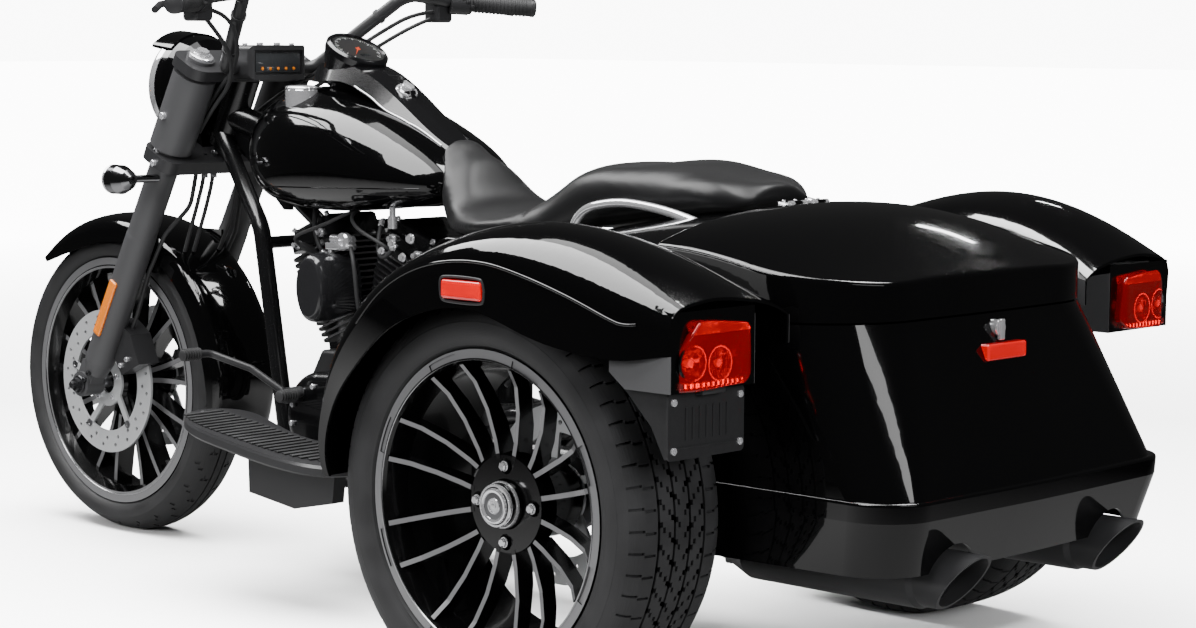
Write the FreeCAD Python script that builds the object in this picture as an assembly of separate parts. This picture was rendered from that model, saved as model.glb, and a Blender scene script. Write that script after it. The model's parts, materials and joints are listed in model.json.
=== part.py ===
import FreeCAD, Part
import math
import os

V = FreeCAD.Vector
X_AXIS, Y_AXIS, Z_AXIS = V(1, 0, 0), V(0, 1, 0), V(0, 0, 1)

# Overall sizes in millimetres. X runs forward from the rear axle, Y to the rider's left, Z up from the floor.
LENGTH = 2645.0
WHEELBASE = 1670.0
RAKE = 26.0
TRAIL = 99.0

# Front wheel
FRONT_R = 319.3
FRONT_WIDTH = 130.0
FRONT_RIM_R = 258.0
FRONT_RIM_HALF = 47.0
FRONT_BEAD_R = 241.0
FRONT_DISC_R = 150.0
FRONT_DISC_Y = 72.0
FRONT_AXLE_R = 12.5

# Rear wheels
REAR_R = 325.4
REAR_WIDTH = 213.0
REAR_TRACK_HALF = 517.0
REAR_RIM_R = 246.0
REAR_RIM_HALF = 96.0
REAR_BEAD_R = 228.0
REAR_SPOKE_PAIRS = 8
REAR_LUGS = 4
LUG_CIRCLE_R = 60.0
HUB_FACE_R = 77.0
SPOKE_SPREAD = 13.5
REAR_STUB_R = 20.0
REAR_DISC_R = 145.0
REAR_DISC_Y = 436.0

# Frame and engine
TUBE_R = 17.0
THIN_TUBE_R = 14.0
BACKBONE_R = 27.0
STEM_R = 17.0
JACK_PAD_Z = 192.0
RAIL_Y, RAIL_Z = 130.0, 385.0
CRANK_X, CRANK_Z = 885.0, 330.0
FRONT_PULLEY_R = 40.0
REAR_PULLEY_R = 100.0
BELT_Y = 44.0
BELT_WIDTH = 26.0
BELT_THICK = 7.0
V_HALF_ANGLE = 22.5
FIN_COUNT = 15
FIN_PITCH = 12.0
FIN_THICK = 4.0
FIN_HALF = 66.0
FIN_GROWTH = 1.2
FIN_GROWING = 9
FIN_OUTER = FIN_HALF + FIN_GROWING * FIN_GROWTH

# Rear body
SEAM_Z = 622.0
TRUNK_FLOOR_Z = 402.0
TRUNK_FRONT_X = -115.0
LID_FRONT_X = -142.0
LID_AXIS_Z = 776.0
HINGE_YS = (-30, 30)
HINGE_PIN_R = 3.0
KNUCKLE_R = 6.0
KNUCKLE_HALF = 9.0
LID_SEAM = 3.0
PANEL = 5.0
BODY_HALF = 384.0
SEAM_HALF = 372.0
SEAM_CORNER = 180.0
BAND_HALF = 384.0
BAND_STEP = 8.0
BAND_CORNER = 88.0
BAND_TOP_Z = 372.0
SKIRT_Z = 256.0
TIP_Y, TIP_Z = 212.0, 239.0
TIP_R = 46.0
MUFFLER_X = -171.0
PLATE_X, PLATE_Y, PLATE_Z = -412.0, 566.0, 496.5
PLATE_SCREW_Y, PLATE_SCREW_Z = 73.0, 35.0
PLATE_HOLE_R = 3.5
FENDER_WALL = 5.0

# Controls and lamps
LAMP_X, LAMP_Z, LAMP_R = 1470.0, 938.0, 104.0
BAR_R = 12.7
LEG_Y = 120.0
LEG_LEAN = 28.35
COVER_R = 44.0

GAP = 0.3
MOVING_GAP = 6.0

REAR_AXLE_X = LENGTH / 2 - FRONT_R - WHEELBASE
AXLE = V(WHEELBASE, 0, FRONT_R)
STEER_GROUND_X = WHEELBASE + TRAIL
REAR_AXLE = V(0, 0, REAR_R)


def steer_x(z):
    """X of the steering axis at height z."""
    return STEER_GROUND_X - z * math.tan(math.radians(RAKE))


def polar(radius, degrees):
    """A point of the XZ plane at a radius and an angle from +X towards +Z."""
    angle = math.radians(degrees)
    return radius * math.cos(angle), radius * math.sin(angle)


def fuse(shapes):
    """One solid out of shapes that touch."""
    first, *rest = shapes
    return first.multiFuse(rest).removeSplitter() if rest else first


def largest(shape):
    """The largest solid of a shape, without slivers that a cut leaves."""
    return max(shape.Solids, key=lambda s: s.Volume)


def mirror_y(shape):
    """The same piece on the other side of the centre plane."""
    return shape.mirror(V(0, 0, 0), Y_AXIS)


def both_sides(shape):
    """The piece and its mirror image, as two solids of one node."""
    return Part.makeCompound([shape, mirror_y(shape)])


def rod(start, end, radius):
    """A round bar between two points."""
    return Part.makeCylinder(radius, (end - start).Length, start, end - start)


def block(low, high):
    """A box between its lowest and highest corners."""
    size = high - low
    return Part.makeBox(size.x, size.y, size.z, low)


def bent_wire(points, bend):
    """Straight runs joined by tangent arcs of one bend radius."""
    edges = []
    last = points[0]
    for before, corner, after in zip(points, points[1:], points[2:]):
        back = (before - corner).normalize()
        ahead = (after - corner).normalize()
        half = back.getAngle(ahead) / 2
        reach = min(bend / math.tan(half), 0.48 * (before - corner).Length, 0.48 * (after - corner).Length)
        start, end = corner + back * reach, corner + ahead * reach
        centre_way = (back + ahead).normalize()
        radius = reach * math.tan(half)
        middle = corner + centre_way * (radius / math.sin(half) - radius)
        edges.append(line(last, start))
        edges.append(Part.Arc(start, middle, end).toShape())
        last = end
    edges.append(line(last, points[-1]))
    return Part.Wire(edges)


def bent_tube(points, radius, bend):
    """A round bar bent along straight runs and arcs."""
    path = bent_wire(points, bend)
    start = Part.Wire(Part.makeCircle(radius, points[0], points[1] - points[0]))
    return path.makePipeShell([start], True, True)


def ring_about_y(profile, centre):
    """A profile of (y, radius) points turned about a Y axis through the centre."""
    points = [centre + V(0, y, r) for y, r in profile]
    face = Part.Face(Part.makePolygon(points + points[:1]))
    return face.revolve(centre, Y_AXIS, 360)


def turned(profile, start, direction):
    """A profile of (distance, radius) points turned about an axis from a start point."""
    points = [V(r, 0, d) for d, r in profile]
    solid = Part.Face(Part.makePolygon(points + points[:1])).revolve(V(0, 0, 0), Z_AXIS, 360)
    solid.Placement = FreeCAD.Placement(start, FreeCAD.Rotation(Z_AXIS, direction))
    return solid


def spline_ring(points):
    """A closed smooth wire through points."""
    curve = Part.BSplineCurve()
    curve.interpolate(points, PeriodicFlag=True)
    return Part.Wire(curve.toShape())


def spline(points):
    """An open smooth edge through points."""
    curve = Part.BSplineCurve()
    curve.interpolate(points)
    return curve.toShape()


def line(start, end):
    """A straight edge."""
    return Part.LineSegment(start, end).toShape()


def loft(wires, ruled=False):
    """A closed solid through wires."""
    return Part.makeLoft(wires, True, ruled, False, 3)


def rounded_wire(corners):
    """A closed outline from (point, corner radius) pairs: straight sides and tangent arcs."""
    edges = []
    joints = []
    count = len(corners)
    for index, (corner, radius) in enumerate(corners):
        before, after = corners[index - 1][0], corners[(index + 1) % count][0]
        back, ahead = (before - corner).normalize(), (after - corner).normalize()
        half = back.getAngle(ahead) / 2
        reach = min(radius / math.tan(half), 0.48 * (before - corner).Length, 0.48 * (after - corner).Length)
        true_r = reach * math.tan(half)
        middle = corner + (back + ahead).normalize() * (true_r / math.sin(half) - true_r)
        joints.append((corner + back * reach, middle, corner + ahead * reach))
    for index, (start, middle, end) in enumerate(joints):
        edges.append(Part.Arc(start, middle, end).toShape())
        edges.append(line(end, joints[(index + 1) % count][0]))
    return Part.Wire(edges)


def plate_xz(outline, y_low, y_high):
    """An outline of (x, z) points, given a thickness along Y."""
    points = [V(x, y_low, z) for x, z in outline]
    face = Part.Face(Part.makePolygon(points + points[:1]))
    return face.extrude(V(0, y_high - y_low, 0))


def upright(shape):
    """The edges of a shape that run up its own Z."""
    return [e for e in shape.Edges if abs(e.Vertexes[0].Z - e.Vertexes[-1].Z) > 1]


def rounded_box(low, high, radius):
    """A box with all its edges rounded."""
    box = block(low, high)
    return box.makeFillet(radius, box.Edges)


# Wheels

def tyre(centre_y, centre, radius, width, rim_half, bead_r, flange_r, crown_drop):
    """A tyre: bead, bulging side walls and a crowned tread, turned about the axle."""
    half = width / 2
    side_r = flange_r + 0.36 * (radius - flange_r)
    tread_half = half - 7
    left = [(rim_half - 1.5, bead_r), (rim_half - 1.5, flange_r + 1), (rim_half + 6, flange_r + 3),
            (half - 1, side_r - 8), (half, side_r + 4), (tread_half, radius - crown_drop)]
    right = [(-y, r) for y, r in reversed(left)]
    base = centre + V(0, centre_y, 0)
    crown = Part.Arc(base + V(0, tread_half, radius - crown_drop), base + V(0, 0, radius),
                     base + V(0, -tread_half, radius - crown_drop))
    edges = [Part.makePolygon([base + V(0, y, r) for y, r in left[:3]]).Edges,
             [spline([base + V(0, y, r) for y, r in left[2:]])],
             [crown.toShape()],
             [spline([base + V(0, y, r) for y, r in right[:4]])],
             Part.makePolygon([base + V(0, y, r) for y, r in right[3:] + left[:1]]).Edges]
    wire = Part.Wire(Part.__sortEdges__([e for group in edges for e in group]))
    return Part.Face(wire).revolve(base, Y_AXIS, 360)


def rib(inner_r, inner_deg, middle_r, middle_deg, outer_r, outer_deg, width, depth):
    """A spoke rib of even width that follows a curve in the wheel's plane, thick along Y."""
    stations = [(inner_r, inner_deg), (middle_r, middle_deg), (outer_r, outer_deg)]
    sides = []
    for side in (-1, 1):
        points = []
        for r, deg in stations:
            x, z = polar(r, deg + side * math.degrees(width / 2 / r))
            points.append(V(x, -depth, z))
        sides.append(points)
    near, far = sides
    edges = [Part.Arc(*near).toShape(), line(near[-1], far[-1]), Part.Arc(*reversed(far)).toShape(),
             line(far[0], near[0])]
    return Part.Face(Part.Wire(edges)).extrude(V(0, depth, 0))


def rear_rim():
    """Deep rim: barrel with lips, dished V spokes, hub with lug recesses and a round cap. Local, +Y outward."""
    lip_y = REAR_RIM_HALF
    bead_y = lip_y - 7.5
    barrel = ring_about_y([(-lip_y, REAR_RIM_R), (-lip_y, 222), (lip_y - 44, 216), (lip_y - 6, 226),
                           (lip_y, 229),
                           (lip_y, REAR_RIM_R), (bead_y, REAR_RIM_R), (bead_y, REAR_BEAD_R),
                           (-bead_y, REAR_BEAD_R),
                           (-bead_y, REAR_RIM_R)], V(0, 0, 0))
    hub_face = lip_y - 50.0
    dish = ring_about_y([(hub_face - 46, 24), (hub_face, 24), (hub_face + 1, 100), (hub_face + 8, 150),
                         (hub_face + 24, 195), (lip_y - 3, 225), (lip_y - 36, 225), (hub_face - 10, 180),
                         (hub_face - 28, 130), (hub_face - 36, 80)], V(0, 0, 0))
    pitch = 360.0 / REAR_SPOKE_PAIRS
    ribs = []
    for index in range(REAR_SPOKE_PAIRS):
        centre = index * pitch
        inner_r, inner_spread, middle_spread = (72, 13.0, 13.0) if index % 2 == 0 else (80, 5.5, 11.0)
        for side in (-1, 1):
            ribs.append(rib(inner_r, centre + side * inner_spread, 150, centre + side * middle_spread,
                            224, centre + side * SPOKE_SPREAD, 8, 110))
    spokes = fuse(ribs)
    spokes.translate(V(0, lip_y, 0))
    spokes = spokes.common(dish)
    back = hub_face - 46 - 60
    hub = ring_about_y([(back, REAR_STUB_R + GAP), (hub_face - 2, REAR_STUB_R + GAP), (hub_face - 2, 38),
                        (hub_face, 40), (hub_face, HUB_FACE_R), (hub_face - 30, HUB_FACE_R + 4),
                        (hub_face - 46, 62), (back, 62)], V(0, 0, 0))
    cap = ring_about_y([(hub_face - 2, 0), (hub_face - 2, 38), (hub_face + 10, 37), (hub_face + 14, 34),
                        (hub_face + 22, 33), (hub_face + 26, 29), (hub_face + 26, 0)], V(0, 0, 0))
    body = fuse([barrel, spokes, hub, cap])
    cuts = []
    bolts = []
    for index in range(REAR_LUGS):
        x, z = polar(LUG_CIRCLE_R, index * 360.0 / REAR_LUGS)
        cuts.append(rod(V(x, hub_face - 8, z), V(x, lip_y, z), 13))
        bolts.append(rod(V(x, hub_face - 10, z), V(x, hub_face + 4, z), 8.5))
    for index in range(REAR_SPOKE_PAIRS):
        pocket = ring_about_y([(lip_y - 3, 231), (lip_y + 1, 231), (lip_y + 1, 242), (lip_y - 3, 242)],
                              V(0, 0, 0))
        middle = (index + 0.5) * pitch
        reach = pitch / 2 - SPOKE_SPREAD - 1.5
        corners = [V(0, 0, 0)] + [V(x, 0, z) for x, z in (polar(300, middle - reach),
                                                          polar(300, middle + reach))]
        wedge = Part.Face(Part.makePolygon(corners + corners[:1])).extrude(V(0, 2 * lip_y, 0))
        cuts.append(pocket.common(wedge))
    return fuse([body.cut(Part.makeCompound(cuts))] + bolts)


def front_rim():
    """Cast front rim: drop barrel, twin-rib spokes and a hub with disc carriers."""
    half = FRONT_RIM_HALF + 6
    barrel = ring_about_y([(-half, FRONT_RIM_R), (-half, 236), (-30, 226), (30, 226), (half, 236),
                           (half, FRONT_RIM_R), (FRONT_RIM_HALF - 1.5, FRONT_RIM_R),
                           (FRONT_RIM_HALF - 1.5, FRONT_BEAD_R), (1.5 - FRONT_RIM_HALF, FRONT_BEAD_R),
                           (1.5 - FRONT_RIM_HALF, FRONT_RIM_R)], V(0, 0, 0))
    dish = ring_about_y([(-30, 30), (30, 30), (22, 120), (20, 230), (-20, 230), (-22, 120)], V(0, 0, 0))
    ribs = []
    for index in range(9):
        centre = 90 + index * 40.0
        for side in (-1, 1):
            ribs.append(rib(34, centre + side * 12, 130, centre + side * 6.5, 229, centre + side * 8.5, 10, 80))
    spokes = fuse(ribs)
    spokes.translate(V(0, 40, 0))
    spokes = spokes.common(dish)
    seat_y = FRONT_DISC_Y - 2.5
    bore = FRONT_AXLE_R + GAP
    hub = ring_about_y([(-seat_y, bore), (seat_y, bore), (seat_y, 52), (seat_y - 12, 52), (30, 34), (-30, 34),
                        (12 - seat_y, 52), (-seat_y, 52)], V(0, 0, 0))
    rim = fuse([barrel, spokes, hub])
    rim.translate(AXLE)
    return rim


def brake_disc(outer_r, inner_r, thick, arms):
    """A floating disc: drilled outer ring on a spider of arms."""
    ring = ring_about_y([(0, inner_r), (thick, inner_r), (thick, outer_r), (0, outer_r)], V(0, 0, 0))
    centre = ring_about_y([(0, 26), (thick, 26), (thick, 52), (0, 52)], V(0, 0, 0))
    parts = [ring, centre]
    for index in range(arms):
        angle = index * 360.0 / arms
        x1, z1 = polar(46, angle)
        x2, z2 = polar(inner_r + 6, angle + 14)
        nx, nz = polar(7, angle + 97)
        parts.append(plate_xz([(x1 - nx, z1 - nz), (x2 - nx, z2 - nz), (x2 + nx, z2 + nz), (x1 + nx, z1 + nz)],
                              0, thick))
    disc = fuse(parts)
    holes = []
    for index in range(arms * 4):
        for row, radius in enumerate((0.35, 0.68)):
            r = inner_r + radius * (outer_r - inner_r)
            x, z = polar(r, index * 90.0 / arms + row * 6)
            holes.append(Part.makeCylinder(4, thick + 2, V(x, -1, z), Y_AXIS))
    return disc.cut(Part.makeCompound(holes))


def front_discs():
    """Two front discs, one on each face of the hub."""
    disc = brake_disc(FRONT_DISC_R, 104, 5, 5)
    disc.translate(AXLE + V(0, FRONT_DISC_Y - 2.5, 0))
    return both_sides(disc)


# Frame and running gear

def frame():
    """Tubular frame: steering head, backbone, twin cradle, seat post and rear rails."""
    head_low = V(steer_x(822), 0, 822)
    head_high = V(steer_x(962), 0, 962)
    head = rod(head_low, head_high, 31)
    parts = [head,
             bent_tube([V(1332, 0, 880), V(1150, 0, 838), V(700, 0, 762), V(575, 0, 690), V(545, 0, 500),
                        V(545, 0, 226)], BACKBONE_R, 90)]
    gusset = plate_xz([(1350, 850), (1200, 835), (1160, 700), (1180, 700)], -5, 5)
    parts.append(gusset)
    for side in (-1, 1):
        parts.append(bent_tube([V(1352, side * 16, 842), V(1160, side * 78, 668), V(1082, side * 80, 250),
                                V(1010, side * 80, 216), V(560, side * 80, 216), V(430, side * RAIL_Y, 380),
                                V(-545, side * RAIL_Y, RAIL_Z)], TUBE_R, 60))
        parts.append(bent_tube([V(600, side * 12, 705), V(430, side * 118, 640), V(-20, side * RAIL_Y, 640),
                                V(-70, side * RAIL_Y, 570), V(-82, side * RAIL_Y, RAIL_Z)], THIN_TUBE_R, 60))
    for x in (600, 1000):
        parts.append(rod(V(x, -80, 216), V(x, 80, 216), THIN_TUBE_R))
    parts.append(block(V(570, -90, JACK_PAD_Z), V(650, 90, 204)))
    parts.append(rod(V(300, -RAIL_Y, 382), V(300, RAIL_Y, 382), THIN_TUBE_R))
    parts.append(rod(V(300, -128, 640), V(300, 128, 640), 12))
    parts.append(rod(V(-530, -RAIL_Y, RAIL_Z), V(-530, RAIL_Y, RAIL_Z), THIN_TUBE_R))
    parts.append(rod(V(1152, -78, 640), V(1152, 78, 640), 12))
    shape = fuse(parts)
    bore = rod(V(steer_x(790), 0, 790), V(steer_x(1000), 0, 1000), STEM_R + GAP)
    return shape.cut(bore)


def cylinder_frame(front):
    """Placement of one cylinder: its own +Z up the bore from the crank centre."""
    tilt = V_HALF_ANGLE if front else -V_HALF_ANGLE
    return FreeCAD.Placement(V(CRANK_X, 0, CRANK_Z), FreeCAD.Rotation(Y_AXIS, tilt))


def engine_case():
    """Crankcase and gearbox in one outline, with the cam cover on the right."""
    outline = [(790, 236), (960, 236), (1012, 300), (1016, 372), (972, 446), (806, 446), (752, 428), (600, 438),
               (578, 410), (578, 262), (612, 236)]
    case = plate_xz(outline, -92, 92)
    case = case.makeFillet(9, case.Edges)
    cam = rod(V(CRANK_X, -85, CRANK_Z), V(CRANK_X, -128, CRANK_Z), 88)
    cam = cam.makeFillet(12, [e for e in cam.Edges if abs(e.CenterOfMass.y + 128) < 1])
    side = rod(V(660, -85, 330), V(660, -116, 330), 66)
    filter_can = rod(V(1006, 0, 320), V(1060, 0, 300), 38)
    return fuse([case, cam, side, filter_can]).cut(block(V(540, 38, 200), V(700, 74, 460)))


def cylinders(case):
    """Two finned barrels and heads on the crankcase, split in the V between them."""
    solids = []
    for front in (True, False):
        parts = [Part.makeCylinder(54, 238, V(0, 0, 104))]
        for index in range(FIN_COUNT):
            z = 160 + index * FIN_PITCH
            half = FIN_HALF + min(index, FIN_GROWING) * FIN_GROWTH
            box = Part.makeBox(2 * half, 2 * half, FIN_THICK, V(-half, -half, z))
            parts.append(box.makeFillet(26, upright(box)))
        solid = fuse(parts)
        solid.Placement = cylinder_frame(front)
        keep = block(V(CRANK_X + 2, -200, 0), V(1300, 200, 900)) if front else \
            block(V(400, -200, 0), V(CRANK_X - 2, 200, 900))
        solids.append(solid.common(keep).cut(case).Solids[0])
    return Part.makeCompound(solids)


def rocker_covers():
    """Two stepped rocker covers, one on each head."""
    solids = []
    for front in (True, False):
        base = Part.makeBox(136, 182, 20, V(-68, -106, 342))
        base = base.makeFillet(20, upright(base))
        top = Part.makeBox(112, 130, 24, V(-56, -62, 362))
        top = top.makeFillet(10, [e for e in top.Edges if e.CenterOfMass.z > 364])
        solid = fuse([base, top])
        solid.Placement = cylinder_frame(front)
        solids.append(solid)
    return Part.makeCompound(solids)


def pushrod_tubes(case):
    """Four bright tubes up the right of the cylinders, between case and rocker covers."""
    solids = []
    for front in (True, False):
        for offset in (-20, 20):
            tube = turned([(110, 0), (110, 11), (150, 11), (152, 8), (300, 8), (302, 10), (342, 10), (342, 0)],
                          V(offset, -90, 0), Z_AXIS)
            tube.Placement = cylinder_frame(front).multiply(tube.Placement)
            solids.append(tube.cut(case).Solids[0])
    return Part.makeCompound(solids)


def primary_cover():
    """Left-hand primary drive cover: a long domed outline from the crank to the clutch."""
    front, rear = (CRANK_X + 8, 328, 88), (640, 338, 98)
    lobes = []
    for x, z, r in (front, rear):
        lobes.append(rod(V(x, 92, z), V(x, 178, z), r))
    bridge = plate_xz([(rear[0], 240), (front[0], 240), (front[0], 416), (rear[0], 436)], 92, 178)
    body = fuse(lobes + [bridge])
    rim = [e for e in body.Edges if abs(e.CenterOfMass.y - 178) < 0.5]
    body = body.makeFillet(22, rim)
    clutch = rod(V(640, 176, 338), V(640, 190, 338), 62)
    clutch = clutch.makeFillet(6, [e for e in clutch.Edges if e.CenterOfMass.y > 189])
    return fuse([body, clutch])


def horn_cover():
    """Rounded upright cover in the V of the cylinders, on the left."""
    centre = V(904, 0, 574)
    outline = [centre + V(x, 0, z) for x, z in ((-16, 61), (16, 61), (31, 42), (31, -42), (16, -61), (-16, -61),
                                                (-31, -42), (-31, 42))]
    rings = []
    for y, scale in ((FIN_OUTER, 0.86), (120, 0.97), (160, 1.0), (176, 0.94), (183, 0.80)):
        rings.append(spline_ring([centre + (p - centre) * scale + V(0, y, 0) for p in outline]))
    return loft(rings)


def air_cleaner():
    """Round air cleaner on the right of the engine."""
    return turned([(0, 0), (0, 40), (28, 40), (28, 96), (66, 96), (80, 82), (84, 60), (84, 0)],
                  V(CRANK_X, -FIN_OUTER, 560), V(0, -1, 0))


def exhaust_headers(barrels):
    """Two head pipes on the right that join, then part to the left and right silencers."""
    r = 22
    front = bent_tube([V(1040, -60, 592), V(1078, -104, 580), V(1094, -128, 480), V(1082, -134, 300),
                       V(1030, -142, 198), V(900, -150, 192), V(420, -165, 192), V(250, -180, 212),
                       V(60, -212, 239),
                       V(-171, -212, 239)], r, 60)
    rear = bent_tube([V(700, -84, 560), V(700, -146, 540), V(700, -152, 330), V(650, -152, 212),
                      V(560, -152, 192)],
                     r, 60)
    cross = bent_tube([V(430, -162, 192), V(270, -60, 196), V(160, 80, 206), V(40, 212, 239),
                       V(-171, 212, 239)],
                      r, 70)
    return largest(fuse([front, rear, cross]).cut(barrels))


def muffler(side):
    """One silencer: a drum that narrows at its front, with a hollow slash-cut tip."""
    end = -LENGTH / 2 - REAR_AXLE_X
    long = MUFFLER_X - end
    body = turned([(0, 0), (0, 30), (50, 50), (long - 110, 50), (long - 100, TIP_R), (long, TIP_R),
                   (long, TIP_R - PANEL), (long - 130, TIP_R - PANEL), (long - 130, 0)],
                  V(MUFFLER_X, side * TIP_Y, TIP_Z), V(-1, 0, 0))
    top, low = TIP_Z + TIP_R, TIP_Z - 60
    slash = plate_xz([(end, top), (end - 100, top), (end - 100, low), (end + 86, low)],
                     side * TIP_Y - 60, side * TIP_Y + 60)
    return body.cut(slash)


def mufflers():
    """The left and right silencers."""
    return Part.makeCompound([muffler(1), muffler(-1)])


def tank_ring(x, half, low, high):
    """One cross-section of the fuel tank."""
    h = high - low
    side = [(0.45 * half, high - 0.04 * h), (0.85 * half, high - 0.24 * h), (half, high - 0.56 * h),
            (0.93 * half, high - 0.80 * h), (0.70 * half, low + 0.03 * h), (0.30 * half, low)]
    left = [V(x, y, z) for y, z in side]
    right = [V(x, -y, z) for y, z in reversed(side)]
    return spline_ring([V(x, 0, high)] + left + right)


TANK_STATIONS = [(1178, 66, 782, 876), (1162, 106, 752, 906), (1105, 142, 728, 936), (1010, 164, 716, 946),
                 (900, 170, 716, 932), (790, 160, 724, 894), (690, 134, 738, 842), (650, 108, 750, 810),
                 (632, 70, 760, 786)]


def fuel_tank(frame_shape):
    """Teardrop fuel tank over the backbone, with the tunnel that the backbone runs in."""
    body = loft([tank_ring(*station) for station in TANK_STATIONS])
    slot = plate_xz([(1260, 852), (1150, 838), (700, 762), (540, 670), (540, 600), (1260, 600)],
                    -BACKBONE_R - 1, BACKBONE_R + 1)
    return body.cut(slot).cut(frame_shape)


def console_ring(x, half, low, high):
    """One cross-section of the tank console."""
    points = [V(x, 0, high), V(x, 0.7 * half, high - 0.10 * (high - low)), V(x, half, low), V(x, 0, low - 6),
              V(x, -half, low), V(x, -0.7 * half, high - 0.10 * (high - low))]
    return Part.makePolygon(points + points[:1])


CONSOLE_STATIONS = [(1046, 46, 956, 984), (1000, 64, 958, 998), (930, 64, 955, 990), (801, 58, 890, 924),
                    (691, 46, 826, 850), (664, 32, 812, 834)]


def tank_console(tank):
    """Instrument console along the tank's crest, with the speedometer housing and two flush caps."""
    spine = loft([console_ring(*station) for station in CONSOLE_STATIONS])
    lean = FreeCAD.Rotation(Y_AXIS, -28).multVec(Z_AXIS)
    housing = turned([(-60, 0), (-60, 46), (-10, 58), (4, 62), (16, 62), (20, 58), (20, 54), (12, 52), (12, 0)],
                     V(973, 0, 1004), lean)
    switch = rod(V(822, 0, 916), V(828, 0, 938), 17)
    caps = []
    for side in (-1, 1):
        caps.append(turned([(-44, 0), (-44, 30), (0, 31), (5, 28), (7, 20), (7, 0)], V(1024, side * 92, 940),
                           Z_AXIS))
    console = fuse([spine, housing, switch]).cut(tank)
    console = largest(console)
    caps = [max(c.cut(tank).Solids, key=lambda s: s.CenterOfMass.z) for c in caps]
    return console, Part.makeCompound(caps)


def seat_ring(x, half, low, high, crown):
    """One cross-section of the seat: flat below, crowned above, rounded at the edges."""
    side = [(0.40 * half, high - 0.07 * crown), (0.72 * half, high - 0.30 * crown),
            (0.92 * half, high - 0.62 * crown), (half, high - crown - 3), (0.98 * half, low + 4),
            (0.80 * half, low)]
    left = [V(x, y, z) for y, z in side]
    right = [V(x, -y, z) for y, z in reversed(side)]
    return spline_ring([V(x, 0, high)] + left + right)


SEAT_STATIONS = [(684, 50, 792, 846, 26), (660, 78, 756, 850, 46), (620, 108, 716, 822, 60),
                 (580, 134, 694, 775, 52), (540, 158, 692, 744, 30), (500, 176, 694, 738, 22),
                 (455, 188, 696, 737, 18), (410, 187, 698, 742, 20), (380, 183, 700, 754, 32),
                 (350, 176, 700, 776, 58), (316, 168, 704, 801, 70), (280, 161, 714, 821, 56),
                 (240, 155, 724, 830, 32), (130, 148, 742, 835, 26), (20, 138, 754, 827, 26),
                 (-60, 112, 762, 808, 24), (-94, 76, 770, 794, 14)]


def seat(tank, console, cowl, frame_shape):
    """Two-up seat: a dished rider's place and a raised pillion."""
    body = loft([seat_ring(*station) for station in SEAT_STATIONS])
    body = body.cut(tank).cut(console).cut(cowl).cut(frame_shape)
    return largest(body)


RAIL_POINTS = [(222, 184, 696), (218, 184, 728), (196, 185, 753), (152, 187, 768), (105, 188, 773),
               (50, 188, 770),
               (-10, 188, 761), (-62, 187, 748), (-96, 184, 735), (-118, 180, 700)]
RAIL_R = 8.0


def grab_rails(cowl):
    """An arched rail on each side of the pillion."""
    points = [V(*p) for p in RAIL_POINTS]
    start = Part.Wire(Part.makeCircle(RAIL_R, points[0], points[1] - points[0]))
    rail = Part.Wire([spline(points)]).makePipeShell([start], True, True)
    return both_sides(largest(rail.cut(cowl)))


def side_cover():
    """Left side cover under the seat, curved in plan and rounded at its edges."""
    outline = [(V(632, 0, 640), 30), (V(560, 0, 690), 40), (V(452, 0, 688), 30), (V(436, 0, 560), 60),
               (V(470, 0, 462), 30), (V(620, 0, 470), 30)]
    cover = Part.Face(rounded_wire([(p + V(0, 144, 0), r) for p, r in outline])).extrude(V(0, 20, 0))
    return cover.makeFillet(7, [e for e in cover.Edges if abs(e.CenterOfMass.y - 164) < 0.5])


# Rear body

def shell_ring(origin, along, outer_low, crease, top, inner_top, inner_low, wall):
    """A closed C-shaped wall section in the plane of Y and a direction, from (y, distance) points."""
    def place(pair):
        return origin + V(0, pair[0], 0) + along * pair[1]
    first, last = place(crease), place(inner_top)
    crest = spline([first] + [place(p) for p in top] + [last])
    thin = [(crease[0] - wall, crease[1])] + [(y, r - wall) for y, r in top]
    thin.append((inner_top[0] + wall, inner_top[1]))
    under = spline([place(p) for p in reversed(thin)])
    outer_in = (outer_low[0] - wall, outer_low[1])
    inner_in = (inner_low[0] + wall, inner_low[1])
    return Part.Wire([line(place(outer_low), first), crest, line(last, place(inner_low)),
                      line(place(inner_low), place(inner_in)), line(place(inner_in), place(thin[-1])), under,
                      line(place(thin[0]), place(outer_in)), line(place(outer_in), place(outer_low))])


def fender_ring(origin, along, y_out, y_in, crest, lip, inner_low, wall):
    """One section of a rear fender: outer lip, crease, crown and inner wall."""
    rise = crest - lip
    span = y_out - y_in
    top = [(y_out - 0.045 * span, lip + 0.80 * rise), (y_out - 0.16 * span, crest - 0.065 * rise),
           (y_out - 0.36 * span, crest), (y_out - 0.60 * span, crest - 0.05 * rise),
           (y_in + 0.16 * span, crest - 0.20 * rise)]
    inner_top = (y_in, crest - 0.46 * rise)
    return shell_ring(origin, along, (y_out - 4, lip), (y_out, lip + 0.5 * rise), top, inner_top,
                      (y_in, min(inner_low, inner_top[1] - 4)), wall)


POD_LOW_Z = 546.0
POD_EDGE = [(-262, 600), (-336, POD_LOW_Z)]


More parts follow.
